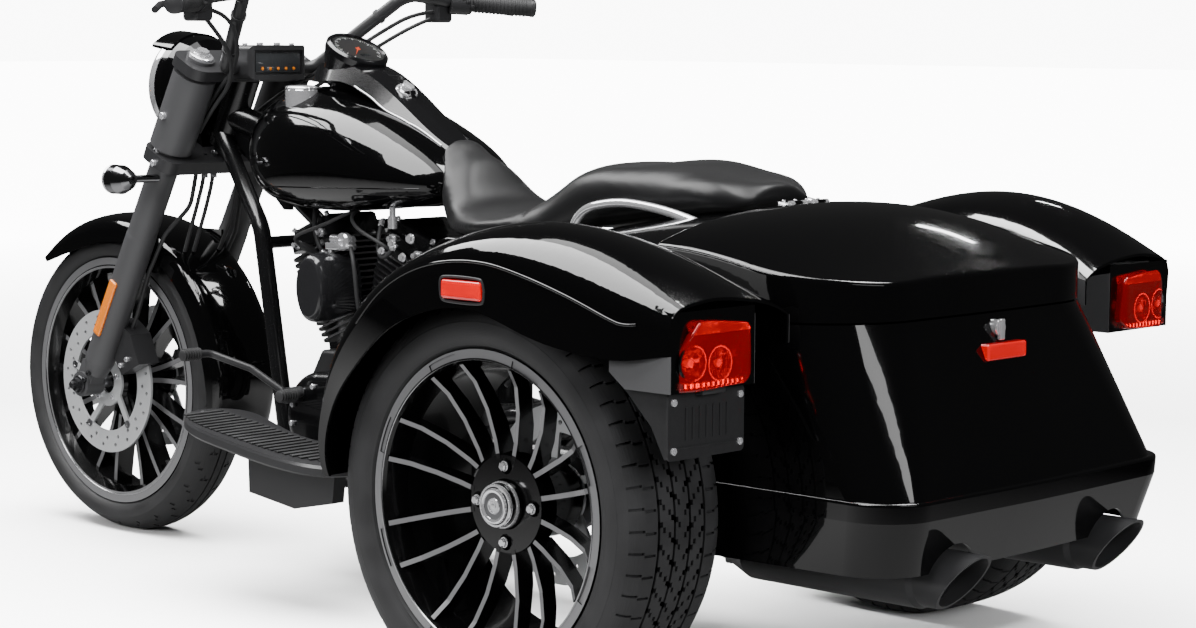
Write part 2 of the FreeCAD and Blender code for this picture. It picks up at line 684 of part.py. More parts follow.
def rear_fender():
    """Left rear fender: a crowned arch about the tyre that runs back into the lamp pod."""
    rings = []
    arch = [(2, 634, 352, 338), (18, 656, 363, 332), (34, 674, 368, 312), (50, 688, 380, 300),
            (68, 696, 398, 304),
            (84, 698, 420, 311)]
    for deg, y_out, crest, lip in arch:
        x, z = polar(1, deg)
        rings.append(fender_ring(REAR_AXLE, V(x, 0, z), y_out, 396, crest, lip, min(lip, 336), FENDER_WALL))
    tail = [(-60, 698, 768, 641), (-140, 697, 771, 620), (-220, 694, 760, 600), (-300, 688, 736, 590),
            (-370, 676, 706, 592), (-425, 662, 678, 600)]
    for x, y_out, crest, lip in tail:
        rings.append(fender_ring(V(x, 0, 0), Z_AXIS, y_out, 396, crest, lip, 600, FENDER_WALL))
    shell = loft(rings)
    pod = plate_xz([(-424, 662), (-330, 680)] + POD_EDGE + [(-424, POD_LOW_Z)], 474, 658)
    return fuse([shell, pod]).cut(tail_lens())


def trunk_ring(z, front, rear, half, corner, inset):
    """The rounded outline of the trunk at a height, drawn in by an inset."""
    wide, narrow = BODY_HALF - inset, half - inset
    front, rear = front - inset, rear + inset
    return rounded_wire([(V(front, wide, z), 12), (V(rear + 10, narrow, z), corner - inset),
                         (V(rear, 0, z), 3000),
                         (V(rear + 10, -narrow, z), corner - inset), (V(front, -wide, z), 12)])


def trunk_rear_x(z):
    """X of the raked rear face, at the centre, at height z."""
    return -511.0 - (SEAM_Z - z) * 0.4156


def trunk_shell(inset, top):
    """The trunk's raked body, from the band to a top height."""
    base_half = BAND_HALF - BAND_STEP
    slope = (SEAM_HALF - base_half) / (SEAM_Z - BAND_TOP_Z)
    growth = (SEAM_CORNER - BAND_CORNER) / (SEAM_Z - BAND_TOP_Z)
    rings = []
    for z in (BAND_TOP_Z, top):
        rise = z - BAND_TOP_Z
        rings.append(trunk_ring(z, TRUNK_FRONT_X, trunk_rear_x(z), base_half + slope * rise,
                                BAND_CORNER + growth * rise, inset))
    return loft(rings, True)


def trunk_tub(frame_shape):
    """Open trunk: raked outer walls, a floor above the axle and a front wall."""
    outer = trunk_shell(0, SEAM_Z)
    cavity = trunk_shell(PANEL, SEAM_Z + 1).common(block(V(-900, -500, TRUNK_FLOOR_Z + PANEL), V(0, 500, 700)))
    below = trunk_shell(PANEL, SEAM_Z + 1).common(block(V(-900, -500, 200), V(0, 500, TRUNK_FLOOR_Z)))
    return outer.cut(cavity).cut(below).cut(frame_shape)


def body_ring(x, half, shoulder, crown, low, inset):
    """A section across the lid or the seat cowl: upright sides, a soft shoulder and a shallow crown."""
    half, shoulder, crown = half - inset, shoulder - inset, crown - inset
    low = low if inset == 0 else low - 1
    rise = crown - shoulder
    side = [(half, low), (half, shoulder - 14), (half - 10, shoulder), (half - 90, shoulder + 0.45 * rise),
            (half - 210, shoulder + 0.82 * rise)]
    left = [V(x, y, z) for y, z in side]
    right = [V(x, -y, z) for y, z in reversed(side)]
    top = spline(left[2:] + [V(x, 0, crown)] + right[:3])
    walls = [line(left[0], left[1]), line(left[1], left[2]), top,
             line(right[2], right[3]), line(right[3], right[4]),
             line(right[4], left[0])]
    return Part.Wire(walls)


def lid_shell(inset, low):
    """The lid's outer form, or its hollow when drawn in: a rounded plan under a crowned top."""
    outline = trunk_ring(low, LID_FRONT_X, trunk_rear_x(SEAM_Z), SEAM_HALF, SEAM_CORNER, inset)
    prism = Part.Face(outline).extrude(V(0, 0, 200))
    stations = [(LID_FRONT_X + 20, 728, 775), (-220, 722, 777), (-300, 709, 762), (-400, 688, 728),
                (-490, 670, 694),
                (-560, 660, 672)]
    crown = loft([body_ring(x, 400, shoulder, top, low - 10, inset) for x, shoulder, top in stations])
    return prism.common(crown)


def trunk_lid():
    """Lid of the trunk: a hollow crowned shell that ends at the seam, notched at its two hinge knuckles."""
    low = SEAM_Z + LID_SEAM
    outer = lid_shell(0, low)
    rim = [e for e in outer.Edges if e.BoundBox.ZMin > low + 20 and e.CenterOfMass.x < LID_FRONT_X - 2]
    outer = outer.makeFillet(9, rim)
    shell = outer.cut(lid_shell(PANEL, low - 1))
    notches = []
    halves = []
    for y in HINGE_YS:
        reach = KNUCKLE_HALF + 16
        notches.append(block(V(LID_FRONT_X - 14, y - reach, LID_AXIS_Z - 14),
                             V(LID_FRONT_X + 10, y + reach, 800)))
        halves.append(rod(V(LID_FRONT_X, y - KNUCKLE_HALF, LID_AXIS_Z),
                          V(LID_FRONT_X, y + KNUCKLE_HALF, LID_AXIS_Z),
                          KNUCKLE_R))
        halves.append(block(V(LID_FRONT_X - 26, y - KNUCKLE_HALF, LID_AXIS_Z - 3),
                            V(LID_FRONT_X, y + KNUCKLE_HALF, LID_AXIS_Z + 1)))
    pin_way = rod(V(LID_FRONT_X, -100, LID_AXIS_Z), V(LID_FRONT_X, 100, LID_AXIS_Z), HINGE_PIN_R + GAP)
    return largest(fuse([shell.cut(Part.makeCompound(notches))] + halves).cut(pin_way))


def seat_cowl(frame_shape):
    """Body between the fenders and under the pillion, ahead of the lid."""
    rear = LID_FRONT_X + MOVING_GAP
    stations = [(rear, 384, 727, 768), (-40, 384, 728, 762), (70, 380, 716, 748), (170, 330, 700, 728),
                (270, 250, 690, 706)]
    outer = loft([body_ring(x, h, s, c, 645, 0) for x, h, s, c in stations])
    inner_stations = [(rear - 5, 384, 727, 768)] + stations[1:-1] + [(265, 252, 690, 706)]
    inner = loft([body_ring(x, h, s, c, 645, PANEL) for x, h, s, c in inner_stations])
    return outer.cut(inner).cut(frame_shape)


def band_skirt(inset):
    """Outer form of the lower skirt, or its hollow when drawn in."""
    base = trunk_rear_x(BAND_TOP_Z)
    rows = ((BAND_TOP_Z, base - 11, BAND_HALF), (342, base - 9, BAND_HALF - 1),
            (SKIRT_Z, base + 14, BAND_HALF - 22))
    rings = [trunk_ring(z, TRUNK_FRONT_X - 70, rear, half, BAND_CORNER, inset) for z, rear, half in rows]
    return fuse([loft(rings[:2], True), loft(rings[1:], True)])


def rear_bumper(pipes, frame_shape):
    """Lower skirt under the trunk: a band that stands out under the tub, cut away over the exhaust tips."""
    shell = band_skirt(0)
    lip = [e for e in shell.Edges if e.BoundBox.ZMin > BAND_TOP_Z - 1 and e.CenterOfMass.x < -200]
    shell = shell.makeFillet(5, lip)
    hollow = band_skirt(PANEL).common(block(V(-900, -500, 100), V(0, 500, BAND_TOP_Z - PANEL)))
    mouth = trunk_ring(BAND_TOP_Z - 2 * PANEL, TRUNK_FRONT_X - 70, trunk_rear_x(BAND_TOP_Z),
                       BAND_HALF - BAND_STEP,
                       BAND_CORNER, 24)
    shell = shell.cut(hollow).cut(Part.Face(mouth).extrude(V(0, 0, 3 * PANEL)))
    for side in (-1, 1):
        shell = shell.cut(rod(V(-700, side * TIP_Y, TIP_Z), V(-150, side * TIP_Y, TIP_Z), 58))
    return shell.cut(pipes).cut(frame_shape)


def tail_lens():
    """Left tail lamp lens: a rounded cap that wraps the pod's end, with raked front edges on both sides."""
    rear_view = rounded_wire([(V(-460, 657, 546), 8), (V(-460, 652, 590), 24), (V(-460, 610, 650), 24),
                              (V(-460, 500, 640), 14), (V(-460, 492, 566), 14), (V(-460, 512, 551), 10)])
    plan = rounded_wire([(V(-300, 657, 500), 4), (V(-437, 652, 500), 46), (V(-440, 484, 500), 26),
                         (V(-300, 482, 500), 8)])
    side_view = plate_xz([(-378, 530), (-424, 628), (-440, 652), (-500, 660), (-500, 530)], 460, 670)
    form = Part.Face(rear_view).extrude(V(160, 0, 0)).common(Part.Face(plan).extrude(V(0, 0, 200)))
    form = form.makeFillet(3, [e for e in form.Edges if e.BoundBox.XMax < -425])
    return form.common(side_view)


def plate_bracket(fender):
    """Licence plate holder under the left lamp: two cheeks and a rear panel with four screw holes."""
    panel = block(V(PLATE_X, PLATE_Y - 84, PLATE_Z - 49.5), V(PLATE_X + 4, PLATE_Y + 84, PLATE_Z + 48.5))
    panel = panel.makeFillet(8, [e for e in panel.Edges if abs(e.Vertexes[0].X - e.Vertexes[-1].X) > 1])
    cheek = POD_EDGE + [(-408, POD_LOW_Z), (-408, 448), (-398, 448), (-372, 494)]
    parts = [panel, plate_xz(cheek, 636, 642), plate_xz(cheek, 490, 496)]
    holes = []
    for y in (-PLATE_SCREW_Y, PLATE_SCREW_Y):
        for z in (-PLATE_SCREW_Z, PLATE_SCREW_Z):
            holes.append(Part.makeCylinder(PLATE_HOLE_R, 10, V(PLATE_X - 3, PLATE_Y + y, PLATE_Z + z), X_AXIS))
    return fuse(parts).cut(Part.makeCompound(holes)).cut(fender)


def reflectors(tub):
    """Red rear reflector on the trunk and a side marker on each rear fender."""
    z = 565.0
    rear = rounded_box(V(trunk_rear_x(z) - 9, -52, z - 13), V(trunk_rear_x(z) + 20, 52, z + 13), 4)
    return largest(rear.cut(tub).cut(trunk_shell(PANEL, SEAM_Z)))


def side_marker(fender):
    """Red side marker on the left rear fender."""
    marker = rounded_box(V(-82, 676, 656), V(4, 702, 686), 6)
    return max(marker.cut(fender).Solids, key=lambda s: s.CenterOfMass.y)


def trunk_lock():
    """Round lock with its turning tab, on the trunk's rear face."""
    z = 600.0
    x = trunk_rear_x(z)
    barrel = rod(V(x + 16, 0, z), V(x - 8, 0, z), 13)
    tab = rounded_box(V(x - 14, -6, z - 19), V(x - 6, 6, z + 14), 2.5)
    return largest(fuse([barrel, tab]).cut(trunk_shell(0, SEAM_Z)))


def lid_hinges(cowl):
    """Fixed halves of the lid's hinges: leaves on the cowl and the pins that the lid turns on."""
    solids = []
    for y in HINGE_YS:
        parts = [rod(V(LID_FRONT_X, y - 20, LID_AXIS_Z), V(LID_FRONT_X, y + 20, LID_AXIS_Z), HINGE_PIN_R)]
        for side in (-1, 1):
            middle = y + side * 15
            low, high = middle - 4, middle + 4
            parts.append(rod(V(LID_FRONT_X, low, LID_AXIS_Z), V(LID_FRONT_X, high, LID_AXIS_Z), KNUCKLE_R))
            parts.append(block(V(LID_FRONT_X, low, LID_AXIS_Z - 4), V(LID_FRONT_X + 24, high, LID_AXIS_Z + 3)))
            parts.append(block(V(LID_FRONT_X + 8, low, LID_AXIS_Z - 11), V(LID_FRONT_X + 24, high, LID_AXIS_Z)))
        solids.append(largest(fuse(parts).cut(cowl)))
    return Part.makeCompound(solids)


def rear_axle():
    """Axle carrier: centre housing, axle tubes and the stub shafts that the wheels turn on."""
    stub_end = REAR_TRACK_HALF + REAR_RIM_HALF - 50 - 2 - 1
    right = ring_about_y([(0, 0), (0, 92), (36, 92), (70, 60), (90, 40), (400, 38), (404, 60), (416, 60),
                          (416, 30),
                          (418, REAR_STUB_R), (stub_end, REAR_STUB_R), (stub_end, 0)], REAR_AXLE)
    return fuse([right, mirror_y(right)])


def rear_suspension(axle, frame_shape):
    """Swinging arm from the seat post to the axle, with two shock absorbers."""
    parts = [rod(V(500, -112, 326), V(500, 112, 326), 24)]
    for side in (-1, 1):
        parts.append(bent_tube([V(500, side * 92, 326), V(420, side * 180, 326), V(0, side * 190, REAR_R)], 24,
                               90))
        parts.append(turned([(0, 0), (0, 20), (30, 22), (32, 34), (170, 34), (172, 18), (235, 18), (235, 0)],
                            V(-30, side * 190, 350), V(0.05, 0, 1)))
    return fuse(parts).cut(axle).cut(frame_shape)


def belt_path(grow):
    """Closed belt path round the gearbox pulley and the axle pulley, drawn out by a thickness."""
    front, rear = V(560, 0, 330), V(0, 0, REAR_R)
    lean = math.degrees(math.asin((REAR_PULLEY_R - FRONT_PULLEY_R) / (front - rear).Length))
    points = []
    for centre, radius, angles in ((front, FRONT_PULLEY_R, (90 + lean, 0, -90 - lean)),
                                   (rear, REAR_PULLEY_R, (-90 - lean, 180, 90 + lean))):
        for angle in angles:
            x, z = polar(radius + grow, angle)
            points.append(centre + V(x, BELT_Y, z))
    return Part.Wire([Part.Arc(*points[:3]).toShape(), line(points[2], points[3]),
                      Part.Arc(*points[3:]).toShape(), line(points[5], points[0])])


def belt_drive(case, axle, frame_shape, suspension):
    """Final drive belt with its two pulleys."""
    depth = V(0, BELT_WIDTH, 0)
    belt = Part.Face(belt_path(BELT_THICK)).extrude(depth).cut(Part.Face(belt_path(0)).extrude(depth))
    discs = [Part.makeCylinder(FRONT_PULLEY_R, BELT_WIDTH, V(560, BELT_Y, 330), Y_AXIS),
             Part.makeCylinder(REAR_PULLEY_R, BELT_WIDTH, V(0, BELT_Y, REAR_R), Y_AXIS)]
    return fuse([belt] + discs).cut(case).cut(axle).cut(frame_shape).cut(suspension)


def footboard():
    """Left rider's footboard: a long half-moon board that tips up at the front."""
    outline = [V(1086, 262, 0), V(1082, 330, 0), V(1010, 384, 0), V(880, 402, 0), V(720, 398, 0),
               V(648, 360, 0),
               V(640, 262, 0), V(860, 250, 0)]
    rings = []
    for z, shrink in ((0, 0.97), (4, 1.0), (16, 1.0), (21, 0.97)):
        centre = V(865, 325, 0)
        rings.append(spline_ring([centre + (p - centre) * shrink + V(0, 0, z) for p in outline]))
    board = loft(rings, True)
    board.translate(V(-865, 0, 0))
    board.rotate(V(0, 0, 0), Y_AXIS, -7)
    board.translate(V(865, 0, 292))
    return board


def footboards(frame_shape):
    """Both footboards with the arms that hold them to the cradle."""
    arms = []
    for x in (760, 960):
        arms.append(rod(V(x, 88, 228), V(x, 250, 228), 9))
    step = plate_xz([(985, 312), (735, 280), (745, 196), (850, 174), (980, 190)], 236, 264)
    solid = fuse([footboard(), step] + arms)
    return both_sides(solid.cut(frame_shape))


def foot_controls():
    """Heel-and-toe shifter on the left and brake pedal on the right."""
    lever = bent_tube([V(935, 205, 372), V(1000, 240, 420), V(1060, 290, 448), V(1062, 335, 449)], 7, 20)
    heel = bent_tube([V(935, 205, 372), V(860, 240, 392), V(790, 300, 398), V(786, 340, 398)], 7, 20)
    boss = rod(V(935, 178, 372), V(935, 214, 372), 15)
    shifter = fuse([lever, heel, boss])
    pedal = fuse([bent_tube([V(935, -128, 372), V(935, -210, 372), V(1010, -290, 410), V(1060, -330, 400)], 8,
                            25),
                  rounded_box(V(1040, -360, 392), V(1090, -300, 408), 6)])
    return Part.makeCompound([shifter, pedal])


# Fork body

def fork_point(z):
    """Centre of the left fork leg at a height."""
    return V(1641 - (z - 351) * math.tan(math.radians(LEG_LEAN)), LEG_Y, z)


def fork_legs():
    """Both fork legs: wide upper covers, tubes, sliders and axle lugs."""
    low, high = fork_point(345), fork_point(1000)
    length = (high - low).Length
    cover_low, cover_high = length * (822 - 345) / 655, length * (966 - 345) / 655
    leg = turned([(0, 0), (0, 24), (30, 31), (330, 31), (338, 30), (cover_low, 30), (cover_low, COVER_R),
                  (cover_high, COVER_R), (cover_high, 28), (length, 28), (length, 0)], low, high - low)
    lug = fuse([rod(V(WHEELBASE, 98, FRONT_R), V(WHEELBASE, 142, FRONT_R), 26),
                plate_xz([(WHEELBASE - 26, FRONT_R), (WHEELBASE + 26, FRONT_R), (1668, 372), (1612, 372)], 104,
                         136)])
    leg = fuse([leg, lug]).cut(rod(V(WHEELBASE, 0, FRONT_R), V(WHEELBASE, 200, FRONT_R), FRONT_AXLE_R))
    return both_sides(leg)


def fork_reflectors(legs):
    """Amber reflectors on the outer faces of the sliders."""
    low, high = fork_point(430), fork_point(545)
    way = (high - low).normalize()
    strip = rounded_box(V(-11, 0, 0), V(11, 8, 128), 3.5)
    strip.Placement = FreeCAD.Placement(low + V(0, 28, 0), FreeCAD.Rotation(Z_AXIS, way))
    return both_sides(max(strip.cut(legs).Solids, key=lambda s: s.CenterOfMass.y))


def fork_yokes(legs):
    """Upper and lower yokes with the steering stem."""
    parts = [rod(V(steer_x(782), 0, 782), V(steer_x(996), 0, 996), STEM_R)]
    for z, depth in ((798, 26), (982, 22)):
        centre = V(steer_x(z), 0, z)
        leg = fork_point(z)
        outline = Part.makeBox(96, 330, depth, V(-48, -165, -depth / 2))
        outline = outline.makeFillet(30, upright(outline))
        outline.Placement = FreeCAD.Placement(V((centre.x + leg.x) / 2, 0, z), FreeCAD.Rotation(Y_AXIS, -RAKE))
        parts.append(outline)
    return fuse(parts).cut(legs)


def front_axle():
    """Front wheel spindle."""
    return rod(AXLE + V(0, -146, 0), AXLE + V(0, 146, 0), FRONT_AXLE_R)


def front_fender_ring(deg, crest, half, lip, wall):
    """One section of the front fender in a radial plane."""
    x, z = polar(1, deg)
    drop = crest - lip
    top = [(0.90 * half, crest - 0.26 * drop), (0.55 * half, crest - 0.07 * drop), (0, crest),
           (-0.55 * half, crest - 0.07 * drop), (-0.90 * half, crest - 0.26 * drop)]
    crease = crest - 0.52 * drop
    return shell_ring(AXLE, V(x, 0, z), (half, lip), (half, crease), top, (-half, crease), (-half, lip), wall)


def front_fender(legs):
    """Front fender with its stays to the fork legs."""
    stations = [(50, 334, 78, 312), (62, 340, 82, 292), (84, 350, 83, 288), (108, 358, 83, 306),
                (132, 370, 83, 322),
                (156, 380, 83, 330), (176, 378, 80, 334), (190, 364, 76, 338)]
    shell = loft([front_fender_ring(deg, crest, half, lip, 4) for deg, crest, half, lip in stations])
    stays = []
    for side in (-1, 1):
        stays.append(block(V(1480, side * 84 - 3, 560), V(1560, side * 84 + 3, 640)))
        stays.append(rod(V(1520, side * 82, 590), V(1520, side * 112, 590), 16))
    stays = fuse(stays[:2]), fuse(stays[2:])
    return fuse([shell, *stays]).cut(legs)


def headlamp_shell(legs, yokes):
    """Headlamp bucket with its peak, on a bracket from the lower yoke."""
    bucket = turned([(0, 0), (0, LAMP_R - 8), (-6, LAMP_R), (-30, LAMP_R), (-56, LAMP_R - 8),
                     (-80, LAMP_R - 34),
                     (-92, LAMP_R - 70), (-94, 0)], V(LAMP_X, 0, LAMP_Z), X_AXIS)
    peak = turned([(-26, LAMP_R - 2), (-26, LAMP_R + 4), (34, LAMP_R + 9), (34, LAMP_R + 5)],
                  V(LAMP_X, 0, LAMP_Z), X_AXIS)
    peak = peak.common(block(V(LAMP_X - 60, -74, LAMP_Z + 60), V(LAMP_X + 60, 74, LAMP_Z + 200)))
    bracket = plate_xz([(1396, 800), (1428, 806), (1450, 842), (1410, 856)], -30, 30)
    return fuse([bucket, peak, bracket]).cut(yokes).cut(legs)


def headlamp_lens():
    """Domed headlamp lens in its trim ring."""
    return turned([(0, 0), (0, LAMP_R - 10), (10, LAMP_R - 10), (16, LAMP_R - 22), (22, LAMP_R - 56), (24, 0)],
                  V(LAMP_X, 0, LAMP_Z), X_AXIS)


def handlebar(yokes):
    """High handlebar on two pull-back risers."""
    half = [V(951, 450, 1101), V(1040, 328, 1112), V(1050, 208, 1126), V(1225, 114, 978), V(1254, 56, 982)]
    bar = bent_tube(half + [V(p.x, -p.y, p.z) for p in reversed(half)], BAR_R, 42)
    parts = [bar]
    for side in (-1, 1):
        parts.append(rod(V(1292, side * 44, 984), V(1254, side * 44, 982), 17))
        parts.append(rod(V(1254, side * 44 - 16, 982), V(1254, side * 44 + 16, 982), 22))
    return largest(fuse(parts).cut(yokes))


def riser_cover(bar, yokes):
    """Cover over the handlebar clamps, with a recessed rear face."""
    cover = block(V(1196, -72, 956), V(1262, 72, 1024))
    cover = cover.makeFillet(12, [e for e in cover.Edges if e.Length < 70])
    recess = block(V(1190, -62, 966), V(1202, 62, 1014))
    return largest(cover.cut(recess).cut(bar).cut(yokes))


def grips(bar):
    """Hand grips at the bar ends."""
    start, end = V(1022, 352.7, 1109.8), V(946, 456.8, 1100.4)
    grip = rod(start, end, 17.5).cut(bar)
    return both_sides(grip)


def hand_controls(bar):
    """Switch housing, fluid reservoir and lever at each end of the bar."""
    housing = rod(V(1043, 318, 1112.4), V(1024, 350, 1110), 25)
    reservoir = rounded_box(V(1044, 286, 1070), V(1086, 330, 1118), 8)
    lever = bent_tube([V(1062, 318, 1104), V(1084, 352, 1104), V(1046, 410, 1100), V(1000, 458, 1090)], 6.5, 24)
    return both_sides(fuse([housing, reservoir, lever]).cut(bar))


def mirrors(controls):
    """Round mirrors on stems above the switch housings."""
    stem = bent_tube([V(1062, 306, 1112), V(1064, 312, 1160), V(1068, 350, 1200), V(1066, 402, 1214)], 5.5, 25)
    head = turned([(0, 0), (0, 50), (8, 52), (18, 44), (24, 20), (25, 0)], V(1056, 440, 1214), X_AXIS)
    return both_sides(fuse([stem, head])).cut(controls)


def turn_signals(legs):
    """Bullet turn signals on stalks from the lower yoke."""
    bullet = turned([(0, 0), (0, 25), (6, 29), (26, 29), (48, 20), (58, 8), (60, 0)], V(1406, 248, 760),
                    V(-1, 0, 0))
    stalk = rod(V(1402, 146, 758), V(1384, 232, 760), 8)
    return both_sides(fuse([bullet, stalk]).cut(legs).Solids[0])


def brake_hoses(legs, yokes, calipers, fender):
    """Front brake hose: from the lower yoke down behind each leg to its caliper."""
    route = [V(1376, 62, 786), V(1398, 64, 700), V(1446, 92, 640), V(1500, 92, 560), V(1540, 92, 470),
             V(1580, 92, 400)]
    hose = bent_tube(route, 4.5, 60)
    hose = both_sides(hose).cut(legs).cut(yokes).cut(calipers).cut(fender)
    longest = sorted(hose.Solids, key=lambda s: s.Volume)[-2:]
    return Part.makeCompound(longest)


def rear_calipers(axle):
    """A caliper over each rear disc, ahead of the axle."""
    outline = []
    for r, deg in ((104, -24), (156, -24), (164, 0), (156, 24), (104, 24), (98, 0)):
        x, z = polar(r, deg)
        outline.append((x, REAR_R + z))
    body = plate_xz(outline, 400, 460)
    slot = ring_about_y([(430, 20), (448, 20), (448, 152), (430, 152)], REAR_AXLE)
    arm = plate_xz([(30, REAR_R - 14), (110, REAR_R - 14), (110, REAR_R + 14), (30, REAR_R + 14)], 404, 414)
    solid = largest(fuse([body.cut(slot), arm]).cut(axle))
    return both_sides(solid)


def front_calipers(legs):
    """A caliper over each front disc, on the rear of the leg."""
    outline = []
    for r, deg in ((100, 122), (164, 122), (172, 140), (168, 162), (104, 166), (98, 150)):
        x, z = polar(r, deg)
        outline.append((WHEELBASE + x, FRONT_R + z))
    body = plate_xz(outline, 60, 112)
    slot = ring_about_y([(FRONT_DISC_Y - 8, 20), (FRONT_DISC_Y + 8, 20), (FRONT_DISC_Y + 8, 156),
                         (FRONT_DISC_Y - 8, 156)], AXLE)
    return both_sides(body.cut(slot).cut(legs).Solids[0])


# Writing the nodes

def write(name, shape):
    """Move a node from the rear-axle datum to the vehicle's centre and write it."""
    placed = shape.copy()
    placed.translate(V(REAR_AXLE_X, 0, 0))
    bad = [s for s in placed.Solids if not s.isValid()]
    box = placed.BoundBox
    print(f"{name}: {len(placed.Solids)} solids, {len(bad)} bad, x {box.XMin:.0f} {box.XMax:.0f}, "
          f"y {box.YMin:.0f} {box.YMax:.0f}, z {box.ZMin:.0f} {box.ZMax:.0f}")
    placed.exportStep(os.path.join("parts", name + ".step"))


def main():
    """Build every node and write it."""
    os.makedirs("parts", exist_ok=True)
    frame_shape = frame()
    case = engine_case()
    write("frame", frame_shape)
    write("engine_case", case)
    barrels = cylinders(case)
    write("cylinders", barrels)
    write("rocker_covers", rocker_covers())
    write("pushrod_tubes", pushrod_tubes(case))
    write("primary_cover", primary_cover())
    write("horn_cover", horn_cover())
    write("air_cleaner", air_cleaner())
    write("exhaust_headers", exhaust_headers(barrels))
    pipes = mufflers()
    write("mufflers", pipes)
    tank = fuel_tank(frame_shape)
    write("fuel_tank", tank)
    console, caps = tank_console(tank)
    write("tank_console", console)
    write("tank_caps", caps)
    cowl = seat_cowl(frame_shape)
    write("seat_cowl", cowl)
    write("seat", seat(tank, console, cowl, frame_shape))
    write("grab_rails", grab_rails(cowl))
    write("side_covers", both_sides(side_cover()))
    fender = rear_fender()
    write("rear_fender_left", fender)
    write("rear_fender_right", mirror_y(fender))
    tub = trunk_tub(frame_shape)
    write("trunk_tub", tub)
    write("trunk_lid", trunk_lid())
    write("lid_hinges", lid_hinges(cowl))
    write("trunk_lock", trunk_lock())
    write("rear_bumper", rear_bumper(pipes, frame_shape))
    write("tail_lenses", both_sides(tail_lens()))
    write("reflectors", Part.makeCompound([reflectors(tub)] + both_sides(side_marker(fender)).Solids))
    write("plate_bracket", plate_bracket(fender))
    axle = rear_axle()
    write("rear_axle", axle)
    write("rear_calipers", rear_calipers(axle))
    suspension = rear_suspension(axle, frame_shape)
    write("rear_suspension", suspension)
    write("belt_drive", belt_drive(case, axle, frame_shape, suspension))
    write("footboards", footboards(frame_shape))
    write("foot_controls", foot_controls())
    legs = fork_legs()
    yokes = fork_yokes(legs)
    bar = handlebar(yokes)
    write("fork_legs", legs)
    write("fork_yokes", yokes)
    write("front_axle", front_axle())
    guard = front_fender(legs)
    write("front_fender", guard)
    write("fork_reflectors", fork_reflectors(legs))
    write("headlamp_shell", headlamp_shell(legs, yokes))
    write("headlamp_lens", headlamp_lens())
    write("handlebar", bar)
    write("riser_cover", riser_cover(bar, yokes))
    write("grips", grips(bar))
    controls = hand_controls(bar)
    write("hand_controls", controls)
    write("mirrors", mirrors(controls))
    write("turn_signals", turn_signals(legs))
    calipers = front_calipers(legs)
    write("front_calipers", calipers)
    write("brake_hoses", brake_hoses(legs, yokes, calipers, guard))
    write("front_tyre", tyre(0, AXLE, FRONT_R, FRONT_WIDTH, FRONT_RIM_HALF, FRONT_BEAD_R, FRONT_RIM_R, 25))
    write("front_rim", front_rim())
    write("front_discs", front_discs())
    rim = rear_rim()
    rim.translate(REAR_AXLE + V(0, REAR_TRACK_HALF, 0))
    rear = tyre(REAR_TRACK_HALF, REAR_AXLE, REAR_R, REAR_WIDTH, REAR_RIM_HALF - 6, REAR_BEAD_R, REAR_RIM_R, 16)
    disc = brake_disc(REAR_DISC_R, 100, 6, 5)
    disc.translate(REAR_AXLE + V(0, REAR_DISC_Y, 0))
    for name, shape in (("tyre", rear), ("rim", rim), ("disc", disc)):
        write(f"rear_{name}_left", shape)
        write(f"rear_{name}_right", mirror_y(shape))


main()
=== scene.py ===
import json
import logging
import math
from dataclasses import dataclass
from enum import Enum
from typing import Iterable, Sequence

import bmesh
import bpy
from mathutils import Matrix, Vector
from mathutils.bvhtree import BVHTree


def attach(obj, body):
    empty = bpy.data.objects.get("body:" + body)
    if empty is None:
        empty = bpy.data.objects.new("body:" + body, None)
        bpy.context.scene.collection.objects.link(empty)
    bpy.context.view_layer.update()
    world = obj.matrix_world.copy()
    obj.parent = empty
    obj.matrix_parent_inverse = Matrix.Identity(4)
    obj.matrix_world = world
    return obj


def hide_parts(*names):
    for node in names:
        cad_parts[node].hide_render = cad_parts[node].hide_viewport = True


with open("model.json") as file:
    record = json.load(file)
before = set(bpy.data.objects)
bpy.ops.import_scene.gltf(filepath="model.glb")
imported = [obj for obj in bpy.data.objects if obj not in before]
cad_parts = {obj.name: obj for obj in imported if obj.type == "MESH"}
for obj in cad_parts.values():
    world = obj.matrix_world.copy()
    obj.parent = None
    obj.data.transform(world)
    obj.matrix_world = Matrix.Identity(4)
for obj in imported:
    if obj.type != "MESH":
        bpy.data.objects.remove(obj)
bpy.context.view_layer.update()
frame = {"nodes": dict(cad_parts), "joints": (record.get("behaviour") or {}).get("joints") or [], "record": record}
LOG = logging.getLogger("trike")
MM = 0.001
WELD = 1e-6
SHARP = 35.0
SIDES = (-1, 1)

Socket = bpy.types.NodeSocket
Shader = bpy.types.Material
Thing = bpy.types.Object
Mesh = bmesh.types.BMesh
Point = tuple[float, float, float]
Pairs = Sequence[tuple[float, float]]
Ray = tuple[Vector, Vector]
Turning = tuple[Pairs, Vector, Vector, int]
X_WAY, Y_WAY, Z_WAY = Vector((1, 0, 0)), Vector((0, 1, 0)), Vector((0, 0, 1))


def joint_place(name: str) -> Vector:
    """The place of a joint's axis, in metres."""
    return Vector(next(j["pos_m"] for j in frame["joints"] if j["name"] == name))


REAR = joint_place("rear_wheel_left_spin")
REAR_RIGHT = joint_place("rear_wheel_right_spin")
FRONT = joint_place("front_wheel_spin")
CRANK = (885.0, 0.0, 330.0)
CYLINDER_LEAN = 22.5


def at(x: float, y: float, z: float) -> Vector:
    """A place in millimetres: forward of the rear axle, to the left of the centre, above the floor."""
    return Vector((REAR.x + x * MM, y * MM, z * MM))


def spoke(radius: float, degrees: float) -> Vector:
    """A step of some millimetres away from an axle; its angle runs from forward to up."""
    turn = math.radians(degrees)
    return Vector((radius * math.cos(turn), 0, radius * math.sin(turn))) * MM


